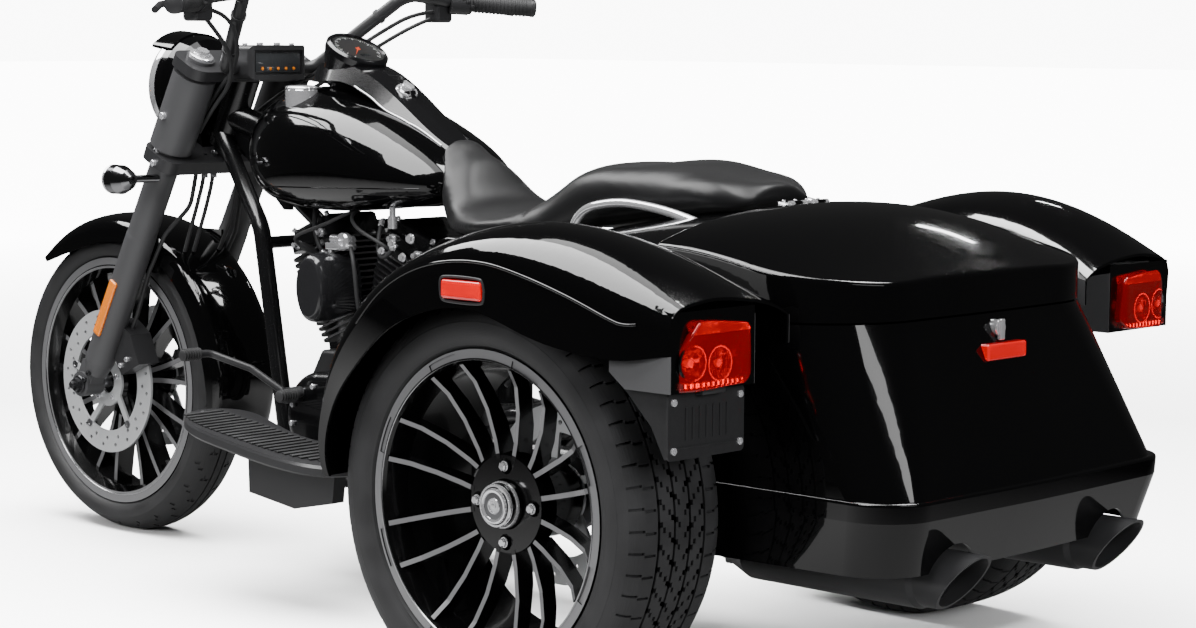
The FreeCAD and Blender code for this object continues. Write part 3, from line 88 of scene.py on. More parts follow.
def ring(x: float, z: float, radius: float, angles: Iterable[float]) -> list[tuple[float, float]]:
    """Places on a circle, as millimetres forward and up."""
    turns = [math.radians(degrees) for degrees in angles]
    return [(x + radius * math.cos(turn), z + radius * math.sin(turn)) for turn in turns]


def inward(y: float, places: Pairs) -> list[Ray]:
    """Rays from places forward and up, out at one side, that look towards the middle."""
    return [(at(x, y, z), Y_WAY if y < 0 else -Y_WAY) for x, z in places]


def fender(side: int) -> str:
    """The CAD node of a side's rear fender."""
    return "rear_fender_left" if side > 0 else "rear_fender_right"


class Body(Enum):
    """The bodies that pieces ride on."""

    CHASSIS = "chassis"
    FORK = "fork"
    FRONT_WHEEL = "front_wheel"
    LEFT_WHEEL = "rear_wheel_left"
    RIGHT_WHEEL = "rear_wheel_right"


# Materials

class Nodes:
    """A short way to write a material's node tree."""

    def __init__(self, name: str) -> None:
        """Start an empty material of that name.

        Args:
            name: The material's name.
        """
        self.material = bpy.data.materials.new(name)
        self.material.use_nodes = True
        self.tree = self.material.node_tree
        self.tree.nodes.clear()
        self.output = self.new("ShaderNodeOutputMaterial")
        self.shader = self.new("ShaderNodeBsdfPrincipled")
        self.tree.links.new(self.shader.outputs["BSDF"], self.output.inputs["Surface"])
        self.place = self.new("ShaderNodeTexCoord").outputs["Object"]

    def new(self, kind: str, **values: object) -> bpy.types.Node:
        """Add a node and set its plain properties.

        Args:
            kind: The node's type.
            values: Its plain properties.

        Returns:
            The new node.
        """
        node = self.tree.nodes.new(kind)
        for key, value in values.items():
            setattr(node, key, value)
        return node

    def set(self, **values: float | tuple) -> None:
        """Set constants on the shader's own sockets; underscores stand for spaces."""
        for key, value in values.items():
            self.shader.inputs[key.replace("_", " ")].default_value = value

    def link(self, source: Socket, target: str) -> None:
        """Link a socket to one of the shader's inputs."""
        self.tree.links.new(source, self.shader.inputs[target])

    def feed(self, node: bpy.types.Node, values: dict[int | str, Socket | float | Sequence[float]]) -> None:
        """Give a node's inputs their links or constants.

        Args:
            node: The node.
            values: For each input a socket to link, or a constant.
        """
        for index, value in values.items():
            if isinstance(value, bpy.types.NodeSocket):
                self.tree.links.new(value, node.inputs[index])
            else:
                node.inputs[index].default_value = value

    def math(self, kind: str, first: Socket | float, second: Socket | float = 0.0) -> Socket:
        """Two values worked into one.

        Args:
            kind: The operation.
            first: A socket or a number.
            second: A socket or a number.

        Returns:
            The result.
        """
        node = self.new("ShaderNodeMath", operation=kind)
        self.feed(node, {0: first, 1: second})
        return node.outputs["Value"]

    def vector(self, kind: str, first: Socket, second: Socket | Sequence[float] = (0, 0, 0),
               output: str = "Vector") -> Socket:
        """Two vectors worked into one vector or value.

        Args:
            kind: The operation.
            first: A vector's socket.
            second: A vector's socket or constant.
            output: The output that is wanted, Vector or Value.

        Returns:
            The result.
        """
        node = self.new("ShaderNodeVectorMath", operation=kind)
        self.feed(node, {0: first, 1: second})
        return node.outputs[output]

    def noise(self, scale: float, detail: float = 2.0, where: Socket | None = None) -> Socket:
        """A noise value over object space, or over a given vector.

        Args:
            scale: Spots in a metre.
            detail: Finer layers.
            where: The vector, or none for object space.

        Returns:
            The noise, from 0 to 1.
        """
        node = self.new("ShaderNodeTexNoise")
        self.feed(node, {"Scale": scale, "Detail": detail, "Vector": where or self.place})
        return node.outputs["Fac"]

    def cells(self, scale: float, feature: str = "F1") -> Socket:
        """Distances in a pattern of cells.

        Args:
            scale: Cells in a metre.
            feature: The distance that is wanted.

        Returns:
            The distance.
        """
        node = self.new("ShaderNodeTexVoronoi", feature=feature)
        self.feed(node, {"Scale": scale, "Vector": self.place})
        return node.outputs["Distance"]

    def spread(self, value: Socket, low: float, high: float, start: float = 0.3, stop: float = 0.7) -> Socket:
        """Map a value from start..stop to low..high.

        Args:
            value: The value.
            low: The result at the start.
            high: The result at the stop.
            start: The value that the low result belongs to.
            stop: The value that the high result belongs to.

        Returns:
            The mapped value.
        """
        node = self.new("ShaderNodeMapRange")
        self.feed(node, {"From Min": start, "From Max": stop, "To Min": low, "To Max": high, "Value": value})
        return node.outputs["Result"]

    def blend(self, amount: Socket, low: Sequence[float], high: Sequence[float]) -> Socket:
        """A colour between two colours.

        Args:
            amount: Share of the second colour.
            low: The first colour.
            high: The second colour.

        Returns:
            The colour.
        """
        node = self.new("ShaderNodeMix", data_type="RGBA")
        self.feed(node, {"Factor": amount, 6: (*low, 1), 7: (*high, 1)})
        return node.outputs[2]

    def tint(self, amount: Socket, colour: Sequence[float], low: float, high: float) -> None:
        """Vary the shader's colour between two shares of it."""
        self.link(self.blend(amount, [c * low for c in colour], [c * high for c in colour]), "Base Color")

    def bump(self, height: Socket, strength: float, distance: float) -> None:
        """Raise the surface by a height value.

        Args:
            height: The height value.
            strength: How strongly it shows, from 0 to 1.
            distance: The height that a value of 1 stands for, in metres.
        """
        node = self.new("ShaderNodeBump")
        self.feed(node, {"Strength": strength, "Distance": distance, "Height": height})
        self.link(node.outputs["Normal"], "Normal")

    def axial(self, centre: Vector, axis: Vector) -> tuple[Socket, Socket]:
        """Distance from an axis, and the place along it.

        Args:
            centre: A point of the axis.
            axis: Its direction.

        Returns:
            The radius and the height along the axis.
        """
        away = self.vector("SUBTRACT", self.place, tuple(centre))
        height = self.vector("DOT_PRODUCT", away, tuple(axis.normalized()), "Value")
        length = self.vector("LENGTH", away, output="Value")
        square = self.math("SUBTRACT", self.math("MULTIPLY", length, length), self.math("MULTIPLY", height, height))
        return self.math("SQRT", self.math("MAXIMUM", square, 0.0)), height

    def facing(self, way: Sequence[float]) -> Socket:
        """How far the true surface faces a direction, from -1 to 1."""
        normal = self.new("ShaderNodeNewGeometry").outputs["True Normal"]
        return self.vector("DOT_PRODUCT", normal, tuple(way), "Value")


@dataclass(frozen=True)
class Paint:
    """A painted or coated surface: an even colour under fine speckle, wear and a coat, and a painted glow in its own
    colour where glow is set.
    """

    name: str
    colour: Point
    roughness: float
    coat: float = 0.0
    metallic: float = 0.0
    grain: float = 400.0
    relief: float = 0.02
    transmission: float = 0.0
    specular: float = 0.5
    # glow: painted light, a constant emission in the surface's own colour
    glow: float = 0.0

    def material(self) -> Shader:
        """Return the material of this finish.

        Returns:
            The new material.
        """
        nodes = Nodes(self.name)
        # Emission in the surface's own colour paints a glow into it where glow is set
        nodes.set(Metallic=self.metallic, Coat_Weight=self.coat, Coat_Roughness=0.02,
                  Transmission_Weight=self.transmission, Specular_IOR_Level=self.specular,
                  Emission_Color=(*self.colour, 1.0), Emission_Strength=self.glow)
        nodes.tint(nodes.noise(6.0), self.colour, 0.92, 1.08)
        speckle = nodes.noise(self.grain)
        nodes.link(nodes.spread(speckle, self.roughness * 0.85, self.roughness * 1.15), "Roughness")
        nodes.bump(speckle, self.relief, 0.0005)
        return nodes.material


@dataclass(frozen=True)
class Wrinkle:
    """Wrinkle-finish black, as on engine castings."""

    name: str
    colour: Point
    roughness: float = 0.5
    scale: float = 900.0

    def material(self) -> Shader:
        """Return the material of this finish.

        Returns:
            The new material.
        """
        nodes = Nodes(self.name)
        cells = nodes.cells(self.scale)
        nodes.tint(cells, self.colour, 1.0, 1.6)
        nodes.link(nodes.spread(nodes.noise(30.0), self.roughness * 0.8, self.roughness * 1.2), "Roughness")
        nodes.bump(cells, 0.35, 0.0006)
        return nodes.material


@dataclass(frozen=True)
class Leather:
    """Matte black cover with a fine pebbled grain."""

    name: str
    colour: Point = (0.005, 0.005, 0.0053)
    roughness: float = 0.38
    scale: float = 700.0

    def material(self) -> Shader:
        """Return the material of this finish.

        Returns:
            The new material.
        """
        nodes = Nodes(self.name)
        grain = nodes.cells(self.scale, "DISTANCE_TO_EDGE")
        pores = nodes.math("MULTIPLY", nodes.noise(self.scale * 2.2, 3.0), 0.25)
        worn = nodes.spread(nodes.noise(4.0, 3.0), 0.0, 1.0)
        nodes.tint(worn, self.colour, 1.0, 1.35)
        nodes.link(nodes.spread(worn, self.roughness, self.roughness * 1.15, 0.0, 1.0), "Roughness")
        nodes.set(Sheen_Weight=0.02, Sheen_Roughness=0.4, Specular_IOR_Level=0.32)
        nodes.bump(nodes.math("ADD", grain, pores), 0.3, 0.0004)
        return nodes.material


@dataclass(frozen=True)
class Rubber:
    """Moulded rubber, with rings of fine moulding lines where it has an axle."""

    name: str
    centre: Point | None = None
    colour: Point = (0.014, 0.014, 0.0145)

    def material(self) -> Shader:
        """Return the material of this finish.

        Returns:
            The new material.
        """
        nodes = Nodes(self.name)
        dust = nodes.noise(18.0, 4.0)
        nodes.tint(nodes.spread(dust, 0.0, 1.0), self.colour, 1.0, 1.7)
        nodes.link(nodes.spread(dust, 0.5, 0.68), "Roughness")
        height = nodes.noise(1500.0, 2.0)
        if self.centre is not None:
            radius, _ = nodes.axial(Vector(self.centre), Y_WAY)
            rings = nodes.math("SINE", nodes.math("MULTIPLY", radius, 2600.0))
            height = nodes.math("ADD", height, nodes.math("MULTIPLY", rings, 0.5))
        nodes.bump(height, 0.25, 0.0004)
        return nodes.material


@dataclass(frozen=True)
class CutRim:
    """Gloss black wheel whose outward faces are machined to dark bare metal."""

    name: str
    centre: Point
    outward: Point = (0, 1, 0)
    hub_radius: float = 0.079
    face: Point = (0.17, 0.17, 0.175)

    def material(self) -> Shader:
        """Return the material of this finish.

        Returns:
            The new material.
        """
        nodes = Nodes(self.name)
        radius, _ = nodes.axial(Vector(self.centre), Y_WAY)
        flat = nodes.spread(nodes.facing(self.outward), 0.0, 1.0, 0.55, 0.72)
        far = nodes.spread(radius, 0.0, 1.0, self.hub_radius, self.hub_radius + MM)
        cut = nodes.math("MULTIPLY", flat, far)
        lines = nodes.math("SINE", nodes.math("MULTIPLY", radius, 9000.0))
        nodes.link(nodes.blend(cut, (0.0015, 0.0015, 0.0016), self.face), "Base Color")
        nodes.link(nodes.spread(cut, 0.16, 0.34, 0.0, 1.0), "Roughness")
        nodes.link(nodes.math("MULTIPLY", cut, 0.35), "Metallic")
        nodes.set(Coat_Weight=0.35, Coat_Roughness=0.04)
        nodes.bump(nodes.math("MULTIPLY", lines, cut), 0.12, 0.0002)
        return nodes.material


@dataclass(frozen=True)
class Ground:
    """Ground steel with circular marks about an axle, as on a brake disc."""

    name: str
    centre: Point
    colour: Point = (0.66, 0.67, 0.68)

    def material(self) -> Shader:
        """Return the material of this finish.

        Returns:
            The new material.
        """
        nodes = Nodes(self.name)
        radius, _ = nodes.axial(Vector(self.centre), Y_WAY)
        circle = nodes.new("ShaderNodeCombineXYZ")
        nodes.feed(circle, {0: nodes.math("MULTIPLY", radius, 900.0)})
        marks = nodes.noise(1.0, 3.0, circle.outputs["Vector"])
        nodes.tint(marks, self.colour, 0.8, 1.0)
        nodes.link(nodes.spread(marks, 0.28, 0.42), "Roughness")
        nodes.set(Metallic=0.55)
        nodes.bump(marks, 0.15, 0.0002)
        return nodes.material


@dataclass(frozen=True)
class PaleFloor:
    """Matte pale floor that glows far from the middle, where the lights don't reach.

    Between the start and the stop radius its glow rises, and its colour changes to the edge's share of it.
    """

    name: str
    colour: Point = (0.9, 0.9, 0.9)
    start: float = 3.0
    stop: float = 9.0
    glow: float = 12.0
    edge: float = 1.0

    def material(self) -> Shader:
        """Return the material of this finish.

        Returns:
            The new material.
        """
        nodes = Nodes(self.name)
        nodes.set(Roughness=0.8, Specular_IOR_Level=0.1, Emission_Color=(1.0, 1.0, 1.0, 1.0))
        far = nodes.vector("LENGTH", nodes.place, output="Value")
        nodes.tint(nodes.spread(far, 0.0, 1.0, self.start, self.stop), self.colour, 1.0, self.edge)
        nodes.link(nodes.spread(far, 0.0, self.glow, self.start, self.stop), "Emission Strength")
        return nodes.material


@dataclass(frozen=True)
class FinnedBlock:
    """Black cylinder castings whose fin edges are cut to bare aluminium.

    The edges are the faces square to the cylinder's axis that lie out beyond the barrel.
    """

    name: str
    crank: Point
    barrel_radius: float

    def material(self) -> Shader:
        """Return the material of this finish.

        Returns:
            The new material.
        """
        nodes = Nodes(self.name)
        crank = Vector(self.crank)
        ahead = nodes.vector("DOT_PRODUCT", nodes.vector("SUBTRACT", nodes.place, tuple(crank)), (1, 0, 0), "Value")
        in_front = nodes.math("GREATER_THAN", ahead, 0.0)
        cuts = []
        for side, own in ((-1, nodes.math("SUBTRACT", 1.0, in_front)), (1, in_front)):
            lean = math.radians(CYLINDER_LEAN) * side
            axis = Vector((math.sin(lean), 0, math.cos(lean)))
            radius, _ = nodes.axial(crank, axis)
            across = nodes.math("LESS_THAN", nodes.math("ABSOLUTE", nodes.facing(axis)), 0.3)
            edge = nodes.math("MULTIPLY", across, nodes.math("GREATER_THAN", radius, self.barrel_radius))
            cuts.append(nodes.math("MULTIPLY", edge, own))
        cut = nodes.math("ADD", *cuts)
        nodes.link(nodes.blend(cut, (0.012, 0.012, 0.013), (0.6, 0.6, 0.61)), "Base Color")
        nodes.link(cut, "Metallic")
        nodes.link(nodes.spread(cut, 0.5, 0.25, 0.0, 1.0), "Roughness")
        nodes.bump(nodes.cells(900.0), 0.2, 0.0004)
        return nodes.material


FINISHES = (
    Paint("gloss_black", (0.001, 0.001, 0.0011), 0.1, coat=1.0, grain=900.0, relief=0.003, specular=0.1),
    Paint("satin_black", (0.02, 0.02, 0.021), 0.36, grain=700.0, relief=0.05),
    Paint("frame_black", (0.004, 0.004, 0.0043), 0.24, coat=0.3),
    Wrinkle("engine_black", (0.008, 0.008, 0.0085)),
    Paint("cover_black", (0.003, 0.003, 0.0033), 0.18, coat=0.6),
    Paint("chrome", (0.82, 0.82, 0.84), 0.06, metallic=0.8, grain=60.0, relief=0.01),
    Rubber("tyre"),
    Leather("seat"),
    Rubber("rubber"),
    # painted glow: the tail lamp lenses give out 0.02 of their red, standing in for light scattered in the lens; the
    # lamps are not lit
    Paint("red_lens", (0.75, 0.002, 0.004), 0.08, coat=1.0, relief=0.01, transmission=0.82, glow=0.02),
    # painted glow: the side reflectors give out 0.06 of their red, though they are no lamps
    Paint("marker_red", (0.8, 0.002, 0.004), 0.1, coat=1.0, relief=0.01, transmission=0.3, glow=0.06),
    Paint("amber_lens", (0.85, 0.24, 0.01), 0.15, coat=1.0, relief=0.01, transmission=0.3),
    Paint("lamp_glass", (0.9, 0.92, 0.95), 0.02, relief=0.005, transmission=1.0),
    Paint("steel", (0.3, 0.3, 0.31), 0.35, metallic=1.0, relief=0.1),
    Wrinkle("matte_plastic", (0.01, 0.01, 0.0105), 0.55, 1400.0),
    Paint("horn", (0.012, 0.012, 0.013), 0.22, coat=0.5, grain=300.0),
    Paint("bolt", (0.7, 0.7, 0.72), 0.18, metallic=0.75, relief=0.05),
    Paint("dark_bolt", (0.03, 0.03, 0.032), 0.25, metallic=0.6),
    Paint("mirror", (0.85, 0.86, 0.88), 0.01, metallic=1.0, relief=0.0),
    Paint("dial", (0.9, 0.9, 0.88), 0.5),
    Paint("dial_black", (0.008, 0.008, 0.008), 0.45),
    Paint("reflector", (0.85, 0.1, 0.1), 0.08, metallic=0.9),
    Paint("silver_reflector", (0.85, 0.86, 0.88), 0.07, metallic=1.0),
    Paint("cut_metal", (0.42, 0.42, 0.43), 0.2, metallic=1.0, relief=0.05),
    Paint("dark_chrome", (0.3, 0.3, 0.31), 0.12, metallic=1.0, relief=0.01),
    Paint("needle", (0.8, 0.08, 0.01), 0.4),
    Paint("window_grey", (0.03, 0.032, 0.034), 0.1, coat=1.0),
    Paint("pod_satin", (0.055, 0.055, 0.057), 0.45, relief=0.05),
    Paint("thin_glass", (0.95, 0.96, 0.97), 0.02, relief=0.0, transmission=1.0),
    # painted sheen: a lighter copy of satin black whose base colour 0.05 stands in for the fork covers' broad
    # reflection of light
    Paint("fork_satin", (0.05, 0.05, 0.052), 0.42, relief=0.05),
    FinnedBlock("fins", tuple(at(*CRANK)), 0.052),
    CutRim("rim_left", tuple(REAR)),
    CutRim("rim_right", tuple(REAR_RIGHT), (0, -1, 0)),
    CutRim("rim_front", tuple(FRONT)),
    Ground("disc_rear", tuple(REAR)),
    Ground("disc_front", tuple(FRONT)),
    PaleFloor("floor"),
    PaleFloor("floor_patch", (0.3, 0.3, 0.3), 1.0, 2.6, 0.0, 0.0),
)

# CAD nodes that take another finish than their slot's
OWN_FINISHES = {
    "cylinders": "fins",
    "rear_rim_left": "rim_left",
    "rear_rim_right": "rim_right",
    "front_rim": "rim_front",
    "rear_disc_left": "disc_rear",
    "rear_disc_right": "disc_rear",
    "front_discs": "disc_front",
    # the fork legs take the satin with its painted sheen
    "fork_legs": "fork_satin",
    "turn_signals": "dark_chrome",
    # the side reflectors take marker_red, with its painted glow
    "reflectors": "marker_red",
}


# Mesh tools

def turned(bm: Mesh, profile: Pairs, centre: Vector, axis: Vector, steps: int) -> None:
    """Turn a profile about an axis.

    Args:
        bm: The mesh to add to.
        profile: Places along the axis and radii, in millimetres.
        centre: The axis's starting point.
        axis: The axis's direction.
        steps: Steps of a full turn.
    """
    way = axis.normalized()
    side = way.orthogonal().normalized()
    verts = [bm.verts.new(centre + way * (along * MM) + side * (radius * MM)) for along, radius in profile]
    edges = [bm.edges.new(pair) for pair in zip(verts, verts[1:])]
    bmesh.ops.spin(bm, geom=verts + edges, cent=centre, axis=way, dvec=(0, 0, 0), angle=2 * math.pi, steps=steps,
                   use_merge=True, use_duplicate=False)


def screw(bm: Mesh, place: Vector, way: Vector, radius: float, height: float | None = None) -> None:
    """A socket-head screw that stands on a surface, sized in millimetres.

    Args:
        bm: The mesh to add to.
        place: Where it stands.
        way: The direction that its head points in.
        radius: The head's radius.
        height: The head's height, or none for one that suits the radius.
    """
    high = height or radius * 1.2
    profile = [(-0.5, radius), (high * 0.85, radius), (high, radius * 0.86), (high, radius * 0.5),
               (high * 0.5, radius * 0.45), (high * 0.5, 0)]
    turned(bm, profile, place, way, 14)


def nut(bm: Mesh, place: Vector, way: Vector, radius: float, height: float | None = None) -> None:
    """A hexagon head on its washer, sized in millimetres.

    Args:
        bm: The mesh to add to.
        place: Where it stands.
        way: The direction that it points in.
        radius: The hexagon's radius.
        height: Its height, or none for one that suits the radius.
    """
    high = height or radius * 0.8
    turn = way.to_track_quat("Z", "Y").to_matrix().to_4x4()
    for sides, wide, low, top in ((24, 1.25, -0.5, 0.18 * high), (6, 1.0, 0.0, high)):
        middle = place + way.normalized() * ((low + top) / 2 * MM)
        bmesh.ops.create_cone(bm, cap_ends=True, segments=sides, radius1=radius * wide * MM,
                              radius2=radius * wide * 0.92 * MM, depth=(top - low) * MM,
                              matrix=Matrix.Translation(middle) @ turn)


def block(bm: Mesh, low: Vector, high: Vector, bevel: float, segments: int = 2) -> Mesh:
    """Add a box with rounded edges between two corners.

    Args:
        bm: The mesh to add to.
        low: The corner with the least of each coordinate.
        high: The opposite corner.
        bevel: The edges' bevel in millimetres.
        segments: Faces across a bevel.

    Returns:
        The mesh.
    """
    matrix = Matrix.Translation((low + high) / 2) @ Matrix.Diagonal((*(high - low), 1))
    made = bmesh.ops.create_cube(bm, size=1.0, matrix=matrix)
    edges = {edge for vert in made["verts"] for edge in vert.link_edges}
    bmesh.ops.bevel(bm, geom=list(edges), offset=bevel * MM, affect="EDGES", segments=segments, profile=0.5,
                    material=-1)
    return bm


def moved_copy(bm: Mesh, faces: list[bmesh.types.BMFace]) -> list[bmesh.types.BMVert]:
    """Extrude a region of faces and return the new corners, for moving."""
    made = bmesh.ops.extrude_face_region(bm, geom=faces)
    return [v for v in made["geom"] if isinstance(v, bmesh.types.BMVert)]


def raised(bm: Mesh, corners: Sequence[Vector], step: Vector) -> None:
    """Add a flat shape and its copy a step away, joined by sides."""
    face = bm.faces.new([bm.verts.new(p) for p in corners])
    bmesh.ops.translate(bm, verts=moved_copy(bm, [face]), vec=step)


def tile(bm: Mesh, low: Sequence[Vector], high: Sequence[Vector]) -> None:
    """Add a four-cornered top and the sides below it.

    Args:
        bm: The mesh to add to.
        low: The four corners of the open bottom.
        high: The four corners of the top.
    """
    low, high = ([bm.verts.new(p) for p in corners] for corners in (low, high))
    bm.faces.new(high)
    for i in range(4):
        bm.faces.new((low[i], low[i - 3], high[i - 3], high[i]))


class Workshop:
    """Turns meshes into dressed pieces that ride on their bodies."""

    def __init__(self) -> None:
        """Make every finish's material."""
        self.materials: dict[str, Shader] = {finish.name: finish.material() for finish in FINISHES}
        self.surfaces: dict[str, BVHTree] = {}

    def piece(self, name: str, bm: Mesh, finish: str, slot: str = "", body: Body = Body.CHASSIS,
              replaces: Sequence[str] = (), smooth: float = SHARP) -> Thing:
        """Finish a mesh as a piece.

        Args:
            name: The piece's name.
            bm: Its mesh, which is freed.
            finish: The material's name.
            slot: The record's slot that it takes its finish from, if that isn't the material's name.
            body: The body that it rides on.
            replaces: CAD nodes that it stands for.
            smooth: Edges that bend less than this many degrees are smooth.

        Returns:
            The new object.
        """
        bmesh.ops.remove_doubles(bm, verts=bm.verts, dist=WELD)
        bmesh.ops.recalc_face_normals(bm, faces=bm.faces)
        mesh = bpy.data.meshes.new(name)
        bm.to_mesh(mesh)
        bm.free()
        return self.place(mesh, finish, slot or finish, body, replaces, smooth)

    def place(self, mesh: bpy.types.Mesh, finish: str, slot: str, body: Body, replaces: Sequence[str] = (),
              smooth: float = SHARP) -> Thing:
        """Put a finished mesh on its body, with its material and replaced nodes.

        Args:
            mesh: The mesh, named for the piece.
            finish: The material's name.
            slot: The record's slot; not used.
            body: The body that it rides on.
            replaces: CAD nodes that it stands for.
            smooth: Edges that bend less than this many degrees are smooth.

        Returns:
            The new object.
        """
        mesh.shade_smooth()
        mesh.set_sharp_from_angle(angle=math.radians(smooth))
        mesh.materials.clear()
        mesh.materials.append(self.materials[finish])
        thing = bpy.data.objects.new(mesh.name, mesh)
        bpy.context.scene.collection.objects.link(thing)
        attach(thing, body.value)
        if replaces:
            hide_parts(*replaces)
        LOG.info("piece %s: %d faces on %s", mesh.name, len(mesh.polygons), body.value)
        return thing

    def lathe(self, name: str, finish: str, parts: Iterable[Turning], slot: str = "", body: Body = Body.CHASSIS,
              smooth: float = SHARP, bm: Mesh | None = None) -> Thing:
        """Turned parts as one piece.

        Args:
            name: The piece's name.
            finish: The material's name.
            parts: For each part its profile, centre, axis and steps.
            slot: The record's slot, if that isn't the material's name.
            body: The body that it rides on.
            smooth: Edges that bend less than this many degrees are smooth.
            bm: A mesh that the parts are added to.

        Returns:
            The new object.
        """
        bm = bm or bmesh.new()
        for part in parts:
            turned(bm, *part)
        return self.piece(name, bm, finish, slot, body, smooth=smooth)

    def wires(self, name: str, finish: str, routes: Sequence[Sequence[Vector]], radius: float,
              body: Body = Body.CHASSIS) -> Thing:
        """Round wires, hoses or beads along smooth routes, as one piece.

        Args:
            name: The piece's name.
            finish: The name of its material and slot.
            routes: The points that each one follows, in metres.
            radius: Its radius in millimetres.
            body: The body that it rides on.

        Returns:
            The new object.
        """
        curve = bpy.data.curves.new(name + "_route", "CURVE")
        curve.dimensions = "3D"
        curve.bevel_depth = radius * MM
        curve.bevel_resolution = 3
        curve.use_fill_caps = True
        for route in routes:
            spline = curve.splines.new("NURBS")
            spline.points.add(len(route) - 1)
            for point, place in zip(spline.points, route):
                point.co = (*place, 1)
            spline.order_u = 3
            spline.use_endpoint_u = True
            spline.resolution_u = 6
        holder = bpy.data.objects.new(name + "_route", curve)
        mesh = bpy.data.meshes.new_from_object(holder)
        mesh.name = name
        bpy.data.objects.remove(holder)
        bpy.data.curves.remove(curve)
        return self.place(mesh, finish, finish, body, smooth=60.0)

    def surface(self, node: str) -> BVHTree:
        """The surface of a CAD node, for seating small pieces on it.

        Args:
            node: The CAD node's name.

        Returns:
            A tree of its faces.
        """
        if node not in self.surfaces:
            bm = bmesh.new()
            bm.from_mesh(frame["nodes"][node].data)
            self.surfaces[node] = BVHTree.FromBMesh(bm)
            bm.free()
        return self.surfaces[node]

    def seat_on(self, node: str, origin: Vector, way: Vector) -> Ray:
        """The point and outward normal where a ray meets a CAD node.

        Args:
            node: The CAD node's name.
            origin: Where the ray starts.
            way: The direction it looks in.

        Returns:
            The point and the normal that faces the ray; the origin and the way back if it misses.
        """
        place, normal, _, _ = self.surface(node).ray_cast(origin, way.normalized())
        if place is None:
            LOG.warning("nothing of %s at %s", node, tuple(round(c, 3) for c in origin))
            return origin, -way.normalized()
        return place, normal if normal.dot(way) < 0 else -normal

    def laid_on(self, node: str, rays: Iterable[Ray], above: float = 0.0) -> list[Vector]:
        """Points some millimetres above where rays meet a CAD node."""
        seats = [self.seat_on(node, *ray) for ray in rays]
        return [place + normal * (above * MM) for place, normal in seats]

    def fasteners(self, name: str, node: str, rays: Iterable[Ray], radius: float, finish: str = "bolt",
                  slot: str = "chrome") -> Thing:
        """Screws seated where rays meet a CAD node of the chassis, as one piece.

        Args:
            name: The piece's name.
            node: The CAD node that they sit on.
            rays: For each one, where its ray starts and the direction that it looks in.
            radius: The head's radius in millimetres.
            finish: The material's name.
            slot: The record's slot.

        Returns:
            The new object.
        """
        bm = bmesh.new()
        for ray in rays:
            screw(bm, *self.seat_on(node, *ray), radius)
        return self.piece(name, bm, finish, slot)

    def dress(self) -> None:
        """Give every CAD node the material of its slot, or its own."""
        for part in frame["record"]["subparts"]:
            mesh = frame["nodes"][part["node"]].data
            mesh.materials.clear()
            mesh.materials.append(self.materials[OWN_FINISHES.get(part["node"], part["material_slot"])])


# Tyres and seat

@dataclass(frozen=True)
class Slots:
    """A row of slots across the tread between two distances from its middle.

    One slot is cut in every few columns; its outer half is shifted by the slant, in columns.
    """

    low: float
    high: float
    every: int
    offset: int
    slant: int
    wide: int = 1

    @property
    def middle(self) -> float:
        """Where its two halves meet."""
        return (self.low + self.high) / 2


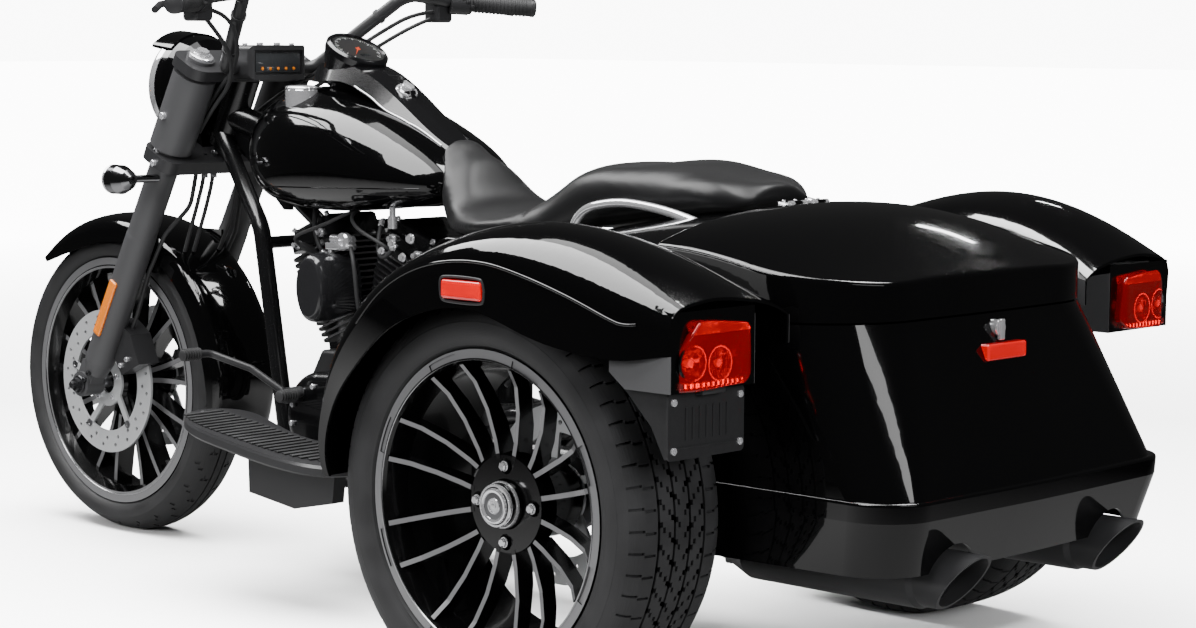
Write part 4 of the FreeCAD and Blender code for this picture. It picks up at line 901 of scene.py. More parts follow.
@dataclass
class Tyre:
    """A tyre with its tread, side wall steps and bead, turned about its axle."""

    node: str
    body: Body
    centre: Vector
    radius: float
    side: Pairs
    crown: Pairs
    grooves: Pairs
    groove_depth: float
    steps: int
    slots: Sequence[Slots]
    slot_depth: float

    def profile(self) -> list[tuple[float, float]]:
        """The section from bead to bead, with rings at the grooves' edges and across the tread.

        Returns:
            Places along the axle and radii, in millimetres.
        """
        rings = {edge for middle, width in self.grooves for edge in (middle - width / 2, middle + width / 2)}
        rings |= {y for y, _ in self.crown}
        rings |= {edge for slot in self.slots for edge in (slot.low, slot.middle, slot.high)}
        half = [*self.side, *((y, self.height(y)) for y in sorted(rings, reverse=True) if y > 0)]
        return half + [(-y, r) for y, r in reversed(half)]

    def height(self, y: float) -> float:
        """Radius of the crown at a distance from the middle.

        Args:
            y: The distance, in millimetres.

        Returns:
            The radius, in millimetres.
        """
        knots = sorted([(0.0, self.radius), *self.crown])
        for (y0, r0), (y1, r1) in zip(knots, knots[1:]):
            if y0 <= abs(y) <= y1:
                return r0 + (r1 - r0) * (abs(y) - y0) / (y1 - y0)
        return self.radius

    def build(self, shop: Workshop) -> None:
        """Turn the section, then press the grooves and slots into it.

        Args:
            shop: Makes and dresses the pieces.
        """
        rubber = Rubber(self.node + "_rubber", tuple(self.centre))
        shop.materials[rubber.name] = rubber.material()
        bm = bmesh.new()
        turned(bm, self.profile(), self.centre, Y_WAY, self.steps)
        bmesh.ops.remove_doubles(bm, verts=bm.verts, dist=WELD)
        bmesh.ops.recalc_face_normals(bm, faces=bm.faces)
        for inside, depth in ((self.in_groove, self.groove_depth), (self.in_slot, self.slot_depth)):
            self.press(bm, [f for f in bm.faces if inside(f.calc_center_median())], depth)
        shop.piece(self.node + "_tread", bm, rubber.name, "tyre", self.body, (self.node,), 28.0)

    def local(self, place: Vector) -> Point:
        """Distance across, radius and angle in turns of a place, in millimetres.

        Args:
            place: The place, in metres.

        Returns:
            The distance, the radius and the angle.
        """
        away = (place - self.centre) / MM
        turn = math.atan2(away.z, away.x) / (2 * math.pi)
        return away.y, math.hypot(away.x, away.z), turn % 1.0

    def in_groove(self, place: Vector) -> bool:
        """Whether a face lies in a groove that runs around."""
        y, r, _ = self.local(place)
        return r > self.crown[0][1] and any(abs(abs(y) - middle) < width / 2 for middle, width in self.grooves)

    def in_slot(self, place: Vector) -> bool:
        """Whether a face lies in a slot across the tread.

        Args:
            place: The middle of the face.

        Returns:
            True in a slot.
        """
        y, r, turn = self.local(place)
        if r < self.height(y) - 1.5 or self.in_groove(place):
            return False
        for slot in self.slots:
            if slot.low < abs(y) < slot.high:
                outer = abs(y) > slot.middle
                side = slot.offset if y > 0 else slot.offset + slot.every // 2
                return (int(turn * self.steps) + side + outer * slot.slant) % slot.every < slot.wide
        return False

    def press(self, bm: Mesh, faces: list[bmesh.types.BMFace], depth: float) -> None:
        """Press a region of faces towards the axle by some millimetres.

        Args:
            bm: The tyre's mesh.
            faces: The faces to press in.
            depth: How far.
        """
        verts = moved_copy(bm, faces)
        bmesh.ops.delete(bm, geom=[f for f in faces if f.is_valid], context="FACES")
        for vert in verts:
            towards = self.centre - vert.co
            towards.y = 0
            vert.co += towards.normalized() * (depth * MM)


@dataclass
class Saddle:
    """Padded two-up seat: remeshed from its solid, swollen a little, smoothed, then seamed."""

    voxel: float = 0.006
    smoothing: int = 6
    settling: int = 14
    pressure: float = 4.0
    stiffness: float = 30.0
    run: int = 12
    swell_cap: float = 0.004
    shrink: float = 0.003
    seam: float = 366.0
    seam_depth: float = 0.0035
    seam_half: float = 6.0

    def holder(self, name: str, mesh: bpy.types.Mesh) -> Thing:
        """A mesh in the scene, for running modifiers on it.

        Args:
            name: The object's name.
            mesh: Its mesh.

        Returns:
            The new object.
        """
        holder = bpy.data.objects.new(name, mesh)
        bpy.context.scene.collection.objects.link(holder)
        return holder

    def applied(self, holder: Thing) -> bpy.types.Mesh:
        """A holder's mesh with its modifiers applied; the holder is removed.

        Args:
            holder: The object with the modifiers.

        Returns:
            The new mesh.
        """
        graph = bpy.context.evaluated_depsgraph_get()
        mesh = bpy.data.meshes.new_from_object(holder.evaluated_get(graph))
        bpy.data.objects.remove(holder)
        return mesh

    def base(self) -> bpy.types.Mesh:
        """The seat's solid as an even mesh.

        Returns:
            The remeshed seat.
        """
        bm = bmesh.new()
        bm.from_mesh(frame["nodes"]["seat"].data)
        bmesh.ops.remove_doubles(bm, verts=bm.verts, dist=1e-5)
        mesh = bpy.data.meshes.new("seat_base")
        bm.to_mesh(mesh)
        bm.free()
        holder = self.holder("seat_base", mesh)
        remesh = holder.modifiers.new("even", "REMESH")
        remesh.mode = "VOXEL"
        remesh.voxel_size = self.voxel
        return self.applied(holder)

    def swollen(self, mesh: bpy.types.Mesh) -> bpy.types.Mesh:
        """The mesh after a short pressure run, each point moved no further than the cap.

        Args:
            mesh: The seat before it swells.

        Returns:
            The swollen seat.
        """
        holder = self.holder("seat_cloth", mesh)
        rest = [v.co.copy() for v in mesh.vertices]
        cloth = holder.modifiers.new("pad", "CLOTH").settings
        cloth.use_pressure = True
        cloth.uniform_pressure_force = self.pressure
        cloth.effector_weights.gravity = 0.0
        cloth.tension_stiffness = self.stiffness
        for number in range(1, self.run + 1):
            bpy.context.scene.frame_set(number)
        result = self.applied(holder)
        bpy.context.scene.frame_set(1)
        for vert, start in zip(result.vertices, rest):
            way = vert.co - start
            if way.length > self.swell_cap:
                vert.co = start + way.normalized() * self.swell_cap
        return result

    def smoothed(self, mesh: bpy.types.Mesh, passes: int) -> Mesh:
        """A mesh for editing, its small waves taken out by a number of passes.

        Args:
            mesh: The mesh to smooth.
            passes: How often it is smoothed.

        Returns:
            The smoothed mesh.
        """
        bm = bmesh.new()
        bm.from_mesh(mesh)
        for _ in range(passes):
            bmesh.ops.smooth_vert(bm, verts=bm.verts, factor=0.5, use_axis_x=True, use_axis_y=True, use_axis_z=True)
        bm.normal_update()
        return bm

    def build(self, shop: Workshop) -> None:
        """Make the seat and its seam.

        Args:
            shop: Makes and dresses the pieces.
        """
        mesh = self.base()
        bm = self.smoothed(mesh, self.smoothing)
        for vert in bm.verts:
            vert.co -= vert.normal * self.shrink
        bm.to_mesh(mesh)
        bm.free()
        mesh = self.swollen(mesh)
        bm = self.smoothed(mesh, self.settling)
        for vert in bm.verts:
            x = (vert.co.x - REAR.x) / MM
            near = math.exp(-((x - self.seam) / self.seam_half) ** 2)
            vert.co -= vert.normal * (self.seam_depth * near)
        thing = shop.piece("seat_pad", bm, "seat", "seat", Body.CHASSIS, ("seat",), 80.0)
        smooth = thing.modifiers.new("smooth", "SUBSURF")
        smooth.levels = 1
        smooth.render_levels = 1


# Small fittings

@dataclass
class WheelTrim:
    """Small fittings of a rear wheel: cap rings, wheel nuts, rim edge and valve."""

    side: int
    body: Body
    centre: Vector
    hub_face: float = 46.0
    cap_face: float = 71.0
    rim_face: float = 96.4
    lug_circle: float = 60.0
    lugs: int = 4
    valve_radius: float = 207.0
    valve_degrees: float = 101.0

    def spot(self, along: float, radius: float = 0.0, degrees: float = 0.0) -> Vector:
        """A place on the wheel from its distance outward, radius and angle."""
        return self.centre + Y_WAY * (self.side * along * MM) + spoke(radius, degrees)

    def build(self, shop: Workshop) -> None:
        """Make the fittings.

        Args:
            shop: Makes and dresses the pieces.
        """
        out = Y_WAY * self.side
        name = "left" if self.side > 0 else "right"
        cap = self.spot(self.cap_face)
        shop.lathe(f"hub_cap_{name}", "chrome", [
            ([(0.5, 28.4), (3.4, 27.2), (4.2, 25), (3.2, 21.5), (1.4, 21)], cap, out, 64),
            ([(1.6, 13), (3.4, 12), (3.4, 10), (2, 9), (2, 5), (3.6, 4.4), (3.8, 0)], cap, out, 48),
            ([(-8, 36.4), (-3, 37.6), (0.5, 36.5), (0.5, 33.2)], self.spot(self.hub_face + 12), out, 64),
            ([(-3, 33.4), (1, 34.2), (3, 33), (3, 29)], self.spot(self.hub_face + 22), out, 64),
        ], "rim", self.body)
        shop.lathe(f"hub_cap_face_{name}", "dark_chrome", [([(1.8, 0), (1.8, 21.2)], cap, out, 64)], "rim", self.body)
        nuts = []
        for index in range(self.lugs):
            place = self.spot(self.hub_face + 4, self.lug_circle, index * 360.0 / self.lugs)
            nuts += [([(-0.3, 7.6), (5, 7.6), (7, 5.5), (7, 0)], place, out, 6),
                     ([(-1.5, 8.4), (0.6, 8.4), (0.6, 7.0)], place, out, 24)]
        shop.lathe(f"wheel_nuts_{name}", "chrome", nuts, "rim", self.body)
        edge = [(-1.5, 232.5), (0.6, 232), (0.8, 230), (-1.2, 228.6)]
        shop.lathe(f"rim_edge_{name}", "cut_metal", [(edge, self.spot(self.rim_face), out, 180)], "rim", self.body)
        base = self.spot(60.0, self.valve_radius + 10, self.valve_degrees)
        way = self.spot(78.0, self.valve_radius - 6, self.valve_degrees) - base
        stem = [(0, 0), (0, 5.5), (9, 4.2), (9, 2.6), (24, 2.6), (24, 3.8), (32, 3.8), (33, 0)]
        shop.lathe(f"valve_{name}", "rubber", [(stem, base, way, 20)], body=self.body)


@dataclass
class FrontWheelTrim:
    """Disc carriers' screws, rim edges and the valve of the front wheel."""

    disc_face: float = 74.5
    bolt_circle: float = 39.0
    rivet_circle: float = 110.0
    rim_edge: float = 53.2
    valve: Point = (-0.12, 0.0, -0.188)

    def build(self, shop: Workshop) -> None:
        """Make the fittings on both sides.

        Args:
            shop: Makes and dresses the pieces.
        """
        bolts = bmesh.new()
        rivets, edges = [], []
        for side in SIDES:
            out = Y_WAY * side
            disc = FRONT + out * (self.disc_face * MM)
            for degrees in range(0, 360, 72):
                screw(bolts, disc + spoke(self.bolt_circle, degrees + 18), out, 6.0, 6.0)
                rivets.append(([(-0.5, 8.5), (1.6, 8.2), (1.6, 4.5), (0.8, 4), (0.8, 0)],
                               disc + spoke(self.rivet_circle, degrees + 14), out, 24))
            edges.append(([(-1.5, 244), (0.5, 243.4), (0.7, 241), (-1.5, 239)], FRONT + out * (self.rim_edge * MM),
                          out, 180))
        wheel = Body.FRONT_WHEEL
        shop.piece("disc_screws", bolts, "bolt", "disc", wheel)
        shop.lathe("disc_rivets", "steel", rivets, "disc", wheel)
        shop.lathe("front_rim_edges", "cut_metal", edges, "rim", wheel)
        base = FRONT + Vector(self.valve)
        stem = [(0, 0), (0, 5), (8, 4), (8, 2.6), (20, 2.6), (20, 3.8), (28, 3.8), (29, 0)]
        shop.lathe("front_valve", "rubber", [(stem, base, FRONT - base, 20)], body=wheel)


@dataclass
class EngineTrim:
    """Fasteners, plug leads, fittings and hoses of the engine."""

    clutch: tuple[float, float] = (640.0, 338.0)
    ray_start: float = 260.0

    def up_bore(self, front: bool, x: float, y: float, z: float) -> Vector:
        """A place in a cylinder's own axes: forward, left and up its bore, from the crank.

        Args:
            front: Whether it is the front cylinder.
            x: Forward, square to the bore.
            y: To the left.
            z: Up the bore.

        Returns:
            The place, in metres.
        """
        turn = math.radians(CYLINDER_LEAN if front else -CYLINDER_LEAN)
        cx, cy, cz = CRANK
        return at(cx + x * math.cos(turn) + z * math.sin(turn), cy + y, cz - x * math.sin(turn) + z * math.cos(turn))

    def bore_way(self, front: bool) -> Vector:
        """The direction up a cylinder's bore."""
        return (self.up_bore(front, 0, 0, 1) - self.up_bore(front, 0, 0, 0)).normalized()

    def covers(self, shop: Workshop) -> None:
        """Screws around the drive cover, the clutch lid and the cam cover.

        Args:
            shop: Makes and dresses the pieces.
        """
        cx, cz = self.clutch
        drive = [*ring(893, 328, 62, range(-80, 91, 34)), *ring(cx, cz, 84, range(92, 271, 36)),
                 (720, 410), (810, 404), (715, 258), (800, 258)]
        cam = ring(885, 330, 70, range(20, 380, 60)) + ring(660, 330, 52, range(20, 380, 60))
        lid = ring(cx, cz, 50, range(90, 450, 72))
        shop.fasteners("drive_cover_screws", "primary_cover", inward(self.ray_start, drive), 5.2)
        shop.fasteners("clutch_lid_screws", "primary_cover", inward(self.ray_start, lid), 4.2)
        shop.fasteners("cam_cover_screws", "engine_case", inward(-self.ray_start, cam), 4.6)
        place, way = shop.seat_on("primary_cover", at(cx, self.ray_start, cz), -Y_WAY)
        shop.lathe("clutch_lid_rings", "cut_metal", [
            ([(-0.4, 30), (1.2, 30), (1.8, 28.5), (1.2, 27), (-0.4, 27)], place, way, 64),
            ([(-0.4, 58), (0.6, 57.6), (0.6, 56.6), (-0.4, 56.2)], place, way, 96),
        ], "cover_black")

    def heads(self, shop: Workshop) -> None:
        """Rocker cover screws, head bolts, plug caps and leads.

        Args:
            shop: Makes and dresses the pieces.
        """
        rays, bolts, caps, leads = [], [], [], []
        for front in (True, False):
            up = self.bore_way(front)
            rays += [(self.up_bore(front, x, y, 450), -up) for x in (-50, 50) for y in (-94, -76, 62)]
            bolts += [([(0, 0), (0, 9), (3, 9), (3, 5.5), (14, 5), (14, 0)], self.up_bore(front, x, 76.5, 352), Y_WAY,
                       20) for x in (-36, 36)]
            start = self.up_bore(front, 0, 60, 318)
            way = (Y_WAY * 0.8 + up * 0.45).normalized()
            caps += [([(0, 0), (0, 11), (5, 11), (5, 8), (12, 7), (12, 0)], start, way, 6),
                     ([(12, 0), (12, 8), (20, 8.6), (44, 7), (52, 5), (52, 0)], start, way, 20)]
            end = start + way * (50 * MM)
            middle = at(880 + (40 if front else -40), 126, 690)
            leads.append([end, end + way * 0.03, middle, at(880, 96, 716), at(875, 60, 722)])
        shop.fasteners("rocker_screws", "rocker_covers", rays, 5.0)
        shop.lathe("head_bolts", "bolt", bolts, "chrome")
        shop.lathe("plug_caps", "rubber", caps)
        shop.wires("plug_leads", "rubber", leads, 3.6)

    def fittings(self, shop: Workshop) -> None:
        """Bright bracket over the horn cover, its bolts, and hoses between the cylinders.

        Args:
            shop: Makes and dresses the pieces.
        """
        shop.lathe("horn_bracket", "chrome", [
            ([(0, 0), (0, 15), (3, 17), (13, 17), (16, 14), (16, 8), (10, 7), (10, 0)], at(876, 108, 660), Y_WAY, 36),
            ([(0, 0), (0, 8), (58, 8), (58, 0)], at(872, 98, 662), X_WAY, 24),
            ([(0, 0), (0, 5.5), (26, 5.5), (26, 0)], at(925, 106, 642), Vector((0.2, 0, -1)), 16),
        ], bm=block(bmesh.new(), at(872, 88, 642), at(936, 112, 656), 3.0))
        bm = bmesh.new()
        for x, y, z, size in ((952, 98, 626, 9), (742, 118, 664, 7), (764, 124, 650, 6), (716, 116, 640, 7),
                              (690, 120, 676, 8)):
            nut(bm, at(x, y, z), Y_WAY, size)
        block(bm, at(950, 76, 600), at(962, 96, 632), 2.0)
        union = [(0, 0), (0, 9), (22, 9), (24, 6), (40, 6), (40, 0)]
        shop.lathe("engine_fittings", "chrome", [(union, at(760, 100, 690), Z_WAY, 20)], bm=bm)
        routes = [
            [at(866, 110, 652), at(840, 128, 640), at(828, 132, 600), at(830, 124, 540), at(836, 108, 512)],
            [at(960, 90, 628), at(980, 92, 648), at(1000, 84, 690), at(1020, 60, 722)],
            [at(742, 112, 660), at(756, 120, 636), at(772, 124, 640), at(788, 112, 668), at(800, 90, 700)],
        ]
        shop.wires("engine_hoses", "rubber", routes, 4.2)
        ends = [pair for route in routes for pair in ((route[0], route[1]), (route[-1], route[-2]))]
        collar = [(-3, 5.8), (9, 5.8), (10, 4.4), (-3, 4.4)]
        shop.lathe("hose_ends", "chrome", [(collar, place, toward - place, 20) for place, toward in ends])

    def intake(self, shop: Workshop) -> None:
        """Air cleaner's face: a ring, a screw and a ribbed filter band.

        Args:
            shop: Makes and dresses the pieces.
        """
        centre = at(CRANK[0], -76.8, 560)
        out = -Y_WAY
        shop.lathe("air_cleaner_rings", "chrome", [
            ([(83, 62), (86, 60), (86, 52), (84, 50)], centre, out, 96),
            ([(83, 14), (88, 13), (89, 9), (86, 7), (86, 0)], centre, out, 48),
        ])
        bm = bmesh.new()
        for degrees in range(0, 360, 5):
            way = spoke(1 / MM, degrees)
            place = centre + way * (95.6 * MM) + out * (46 * MM)
            side = way.cross(out) * (1.4 * MM)
            low = [place + side * a + out * b for a, b in ((-1, -0.016), (1, -0.016), (1, 0.018), (-1, 0.018))]
            tile(bm, low, [p + way * (2.4 * MM) for p in low])
        shop.piece("filter_pleats", bm, "rubber", "cover_black")

    def build(self, shop: Workshop) -> None:
        """Make all the engine's fittings."""
        for make in (self.covers, self.heads, self.fittings, self.intake):
            make(shop)


@dataclass
class TankTrim:
    """Console trim, caps, gauge, ignition switch and the tank's lower seam."""

    gauge: Point = (973.0, 0.0, 1004.0)
    gauge_lean: float = -28.0
    first_tick: float = 225.0
    ticks: int = 48
    switch: Point = (828.0, 0.0, 1000.0)
    cap: Point = (1024.0, 92.0, 947.0)

    def dial(self, shop: Workshop) -> None:
        """Speedometer: face, ticks, needle, small window, bezel and glass.

        Args:
            shop: Makes and dresses the pieces.
        """
        lean = math.radians(self.gauge_lean)
        out = Vector((math.sin(lean), 0, math.cos(lean)))
        right, up = -Y_WAY, Vector((math.cos(lean), 0, -math.sin(lean)))
        centre = at(*self.gauge) + out * (12.4 * MM)
        shop.lathe("dial_face", "dial_black", [([(0, 0), (0, 52)], centre, out, 72)], "cover_black")
        bm = bmesh.new()
        place = centre + out * (0.5 * MM)
        for index in range(self.ticks + 1):
            turn = math.radians(self.first_tick - index * 270 / self.ticks)
            way = right * math.cos(turn) + up * math.sin(turn)
            long, wide = (7.0, 0.9) if index % 4 == 0 else (3.5, 0.45)
            side = way.cross(out) * (wide * MM)
            inner, outer = place + way * ((46 - long) * MM), place + way * (46 * MM)
            bm.faces.new([bm.verts.new(p) for p in (inner - side, outer - side, outer + side, inner + side)])
        shop.piece("dial_marks", bm, "dial", "cover_black")
        bm = bmesh.new()
        turn = math.radians(self.first_tick)
        way = right * math.cos(turn) + up * math.sin(turn)
        side = way.cross(out) * (1.6 * MM)
        place = centre + out * (2.2 * MM)
        tail = place - way * (9 * MM)
        raised(bm, (tail - side, place + way * (38 * MM), tail + side), out * (0.8 * MM))
        shop.lathe("dial_needle", "needle", [([(0, 0), (0, 5), (1.8, 4.4), (1.8, 0)], place, out, 24)], "red_lens",
                   bm=bm)
        bm = block(bmesh.new(), Vector((-0.012, -0.004, 0)), Vector((0.012, 0.004, 0.0006)), 0.2, 1)
        turn = Matrix((right, up, out)).transposed().to_4x4()
        bmesh.ops.transform(bm, matrix=Matrix.Translation(centre - up * (24 * MM) + out * (0.3 * MM)) @ turn,
                            verts=bm.verts)
        shop.piece("dial_window", bm, "window_grey", "cover_black")
        bezel = [(0, 58), (5, 59.5), (8.5, 57), (9, 54.5), (5, 53.4)]
        shop.lathe("gauge_bezel", "cover_black", [(bezel, at(*self.gauge) + out * (12 * MM), out, 96)])
        glass = [(0, 54.2), (0.4, 54.2), (1.6, 40), (2.0, 0)]
        shop.lathe("gauge_glass", "thin_glass", [(glass, centre + out * (4.4 * MM), out, 72)], "lamp_glass")

    def ignition(self, shop: Workshop) -> None:
        """Ignition switch on the console: a bright collar and a knob with a flat grip.

        Args:
            shop: Makes and dresses the pieces.
        """
        place, way = shop.seat_on("tank_console", at(*self.switch), -Z_WAY)
        forward = (X_WAY - way * X_WAY.dot(way)).normalized()
        side = way.cross(forward)
        middle = place + way * (15 * MM)
        bm = bmesh.new()
        raised(bm, [middle + forward * (a * MM) + side * (b * MM)
                    for a, b in ((-13, -3.2), (13, -3.2), (13, 3.2), (-13, 3.2))], way * (-8 * MM))
        shop.lathe("ignition_switch", "chrome", [
            ([(-6, 22), (0, 22), (3, 20), (3, 16), (1, 15)], place, way, 48),
            ([(0, 0), (0, 14), (9, 13), (12, 11), (12, 0)], place, way, 36),
        ], bm=bm)

    def console_edge(self, shop: Workshop, x: float, side: int) -> Vector:
        """The outermost place at a station where the console's skin stands above the tank's.

        Args:
            shop: Makes and dresses the pieces.
            x: The station, in millimetres forward of the rear axle.
            side: 1 on the left, -1 on the right.

        Returns:
            The place, in metres.
        """
        console, tank = shop.surface("tank_console"), shop.surface("fuel_tank")
        for half in range(66, 16, -1):
            start = at(x, side * half, 1010)
            top, normal, _, _ = console.ray_cast(start, -Z_WAY)
            under, _, _, _ = tank.ray_cast(start, -Z_WAY)
            if top is not None and (under is None or top.z > under.z + 0.5 * MM):
                return top + normal * (0.4 * MM)
        LOG.warning("no edge of the console at %s", x)
        return at(x, 0, 800)

    def trims(self, shop: Workshop) -> None:
        """Bright edges along the console, rings on the caps and the lower seam of the tank.

        Args:
            shop: Makes and dresses the pieces.
        """
        routes = [[self.console_edge(shop, x, side) for x in range(905, 690, -15)] for side in SIDES]
        shop.wires("console_trim", "chrome", routes, 1.8)
        x, y, z = self.cap
        dome = [(-4, 30.6), (-2, 31.4), (0, 30), (1.6, 27), (2.6, 20), (3.2, 8), (3.2, 0)]
        shop.lathe("cap_domes", "chrome", [(dome, at(x, side * y, z), Z_WAY, 64) for side in SIDES])
        seam = [(x, 770 + (x - 620) * -0.03) for x in range(668, 1149, 24)]
        routes = [shop.laid_on("fuel_tank", inward(side * 300, seam), 0.3) for side in SIDES]
        shop.wires("tank_seam", "gloss_black", routes, 1.5)

    def build(self, shop: Workshop) -> None:
        """Make the tank's fittings."""
        for make in (self.dial, self.ignition, self.trims):
            make(shop)


@dataclass
class LampTrim:
    """Inner parts, lenses and rims of the headlamp, the front signals, the tail lamps and the side markers."""

    lamp: Point = (1470.0, 0.0, 938.0)
    signal: Point = (1406.0, 248.0, 760.0)
    bowls: Pairs = ((618.0, 588.0), (562.0, 584.0))
    bowl_x: float = -412.0
    strip_z: float = 556.0
    marker: Pairs = ((-86, 671), (-84, 655), (-76, 652), (-39, 651), (-2, 652), (6, 655), (8, 671), (6, 687),
                     (-2, 690), (-39, 691), (-76, 690), (-84, 687), (-86, 671))

    def front(self, shop: Workshop) -> None:
        """The headlamp's bright rim, faceted bowl and bulb shield, and the signals' amber lenses and rims.

        Args:
            shop: Makes and dresses the pieces.
        """
        centre = at(*self.lamp)
        rim = [(-9, 104.2), (1, 106.5), (8, 105), (12, 100), (12, 95.5), (5, 94.3)]
        bowl = [(1.5, 0), (1.5, 24), (3, 60), (6, 84), (8, 91)]
        shield = [(3, 19), (12, 17), (17, 10), (18, 0)]
        shop.lathe("headlamp_rim", "chrome", [(rim, centre, X_WAY, 96)], "gloss_black", Body.FORK)
        shop.lathe("headlamp_bowl", "silver_reflector", [(bowl, centre, X_WAY, 18)], "lamp_glass", Body.FORK, 4.0)
        shop.lathe("bulb_shield", "chrome", [(shield, centre, X_WAY, 40)], "lamp_glass", Body.FORK)
        x, y, z = self.signal
        for name, profile, finish, slot in (
                ("signal_lenses", [(-0.5, 24.6), (3.5, 24), (7, 17), (8.5, 8), (9, 0)], "amber_lens", ""),
                ("signal_rims", [(-3, 28.3), (-1, 29.4), (2, 28.6), (2, 24.8), (-1, 24.6)], "chrome", "satin_black")):
            parts = [(profile, at(x, side * y, z), X_WAY, 48) for side in SIDES]
            shop.lathe(name, finish, parts, slot, Body.FORK)

    def rear(self, shop: Workshop) -> None:
        """Bowls, bulbs and prism strips inside the tail lamps, and thin dark frames round the side markers.

        Args:
            shop: Makes and dresses the pieces.
        """
        centres = [at(self.bowl_x, side * y, z) for side in SIDES for y, z in self.bowls]
        bowl = [(0, 5), (3, 12), (8, 18), (15, 23), (17, 24), (17, 26.5), (14, 27)]
        bulb = [(0, 5), (6, 6.5), (11, 5), (13, 0)]
        shop.lathe("tail_lamp_bowls", "dark_chrome", [(bowl, c, -X_WAY, 16) for c in centres], "red_lens", smooth=4.0)
        shop.lathe("tail_lamp_bulbs", "dial", [(bulb, c, -X_WAY, 20) for c in centres], "red_lens")
        strips = bmesh.new()
        for side in SIDES:
            for index in range(13):
                middle = at(self.bowl_x - 10, side * (514 + index * 10.5), self.strip_z)
                half = Vector((8, 4, 5)) * MM
                block(strips, middle - half, middle + half, 2.0, 1)
        shop.piece("tail_lamp_prisms", strips, "reflector", "red_lens")
        routes = [shop.laid_on(fender(side), inward(side * 800, self.marker), 0.6) for side in SIDES]
        shop.wires("marker_rims", "satin_black", routes, 2.2)

    def build(self, shop: Workshop) -> None:
        """Make all the lamps' parts."""
        self.front(shop)
        self.rear(shop)


@dataclass
class ForkTrim:
    """Cap nuts, pinch bolts, axle nuts, caliper bolts and the lines behind the lower yoke."""

    leg_y: float = 120.0
    lean: float = 28.35
    axle_end: float = 146.0

    def leg(self, z: float, side: int = 1) -> Vector:
        """The centre of a fork leg at a height."""
        return at(1641 - (z - 351) * math.tan(math.radians(self.lean)), side * self.leg_y, z)

    def bolts(self, shop: Workshop) -> None:
        """Make the fork's fasteners on both sides.

        Args:
            shop: Makes and dresses the pieces.
        """
        up = (self.leg(900) - self.leg(400)).normalized()
        bright, dark = bmesh.new(), bmesh.new()
        for side in SIDES:
            out = Y_WAY * side
            top = self.leg(1000, side)
            turned(bright, [(-0.5, 24), (5, 24), (7, 21), (7, 0)], top, up, 48)
            nut(bright, top + up * (7 * MM), up, 14, 9)
            seats = [(bright, "fork_legs", self.leg(z, side) + out * 0.2, 7.5, 8) for z in (884.0, 812.0)]
            seats += [(bright, "fork_yokes", self.leg(z, side) + out * 0.2 - X_WAY * 0.02, 6.5, 7)
                      for z in (806.0, 790.0)]
            seats += [(dark, "fork_legs", at(x, side * 300, z), 5.5, 6) for x, z in ((1636, 346), (1652, 330))]
            seats += [(bright, "front_calipers", FRONT + spoke(r, degrees) + out * 0.3, 5.5, 6)
                      for r, degrees in ((136, 130), (136, 154), (110, 134), (112, 156))]
            for bm, node, origin, radius, height in seats:
                screw(bm, *shop.seat_on(node, origin, -out), radius, height)
            axle = FRONT + out * (self.axle_end * MM)
            nut(dark, axle, out, 15, 11)
            turned(dark, [(0, 0), (0, 9), (18, 8), (20, 6), (20, 0)], axle, out, 32)
        shop.piece("fork_bolts", bright, "bolt", "steel", Body.FORK)
        shop.piece("axle_nuts", dark, "dark_bolt", "steel", Body.FORK)

    def lines(self, shop: Workshop) -> None:
        """Control cables and wiring behind the lower yoke, with their clips.

        Args:
            shop: Makes and dresses the pieces.
        """
        routes, clips = [], []
        for y, x in ((46, 1372), (28, 1366), (-40, 1368)):
            routes.append([at(x, y, 806), at(x + 2, y, 764), at(x + 22, y * 1.1, 700), at(x + 44, y * 1.1, 650),
                           at(x + 68, y, 604)])
            clips.append(([(-5, 4.4), (-5, 7), (5, 7), (5, 4.4)], at(x + 3, y, 762), Z_WAY, 16))
        shop.wires("yoke_lines", "rubber", routes, 4.2, Body.FORK)
        shop.lathe("line_clips", "bolt", clips, "steel", Body.FORK)

    def build(self, shop: Workshop) -> None:
        """Make the fork's fittings."""
        self.bolts(shop)
        self.lines(shop)


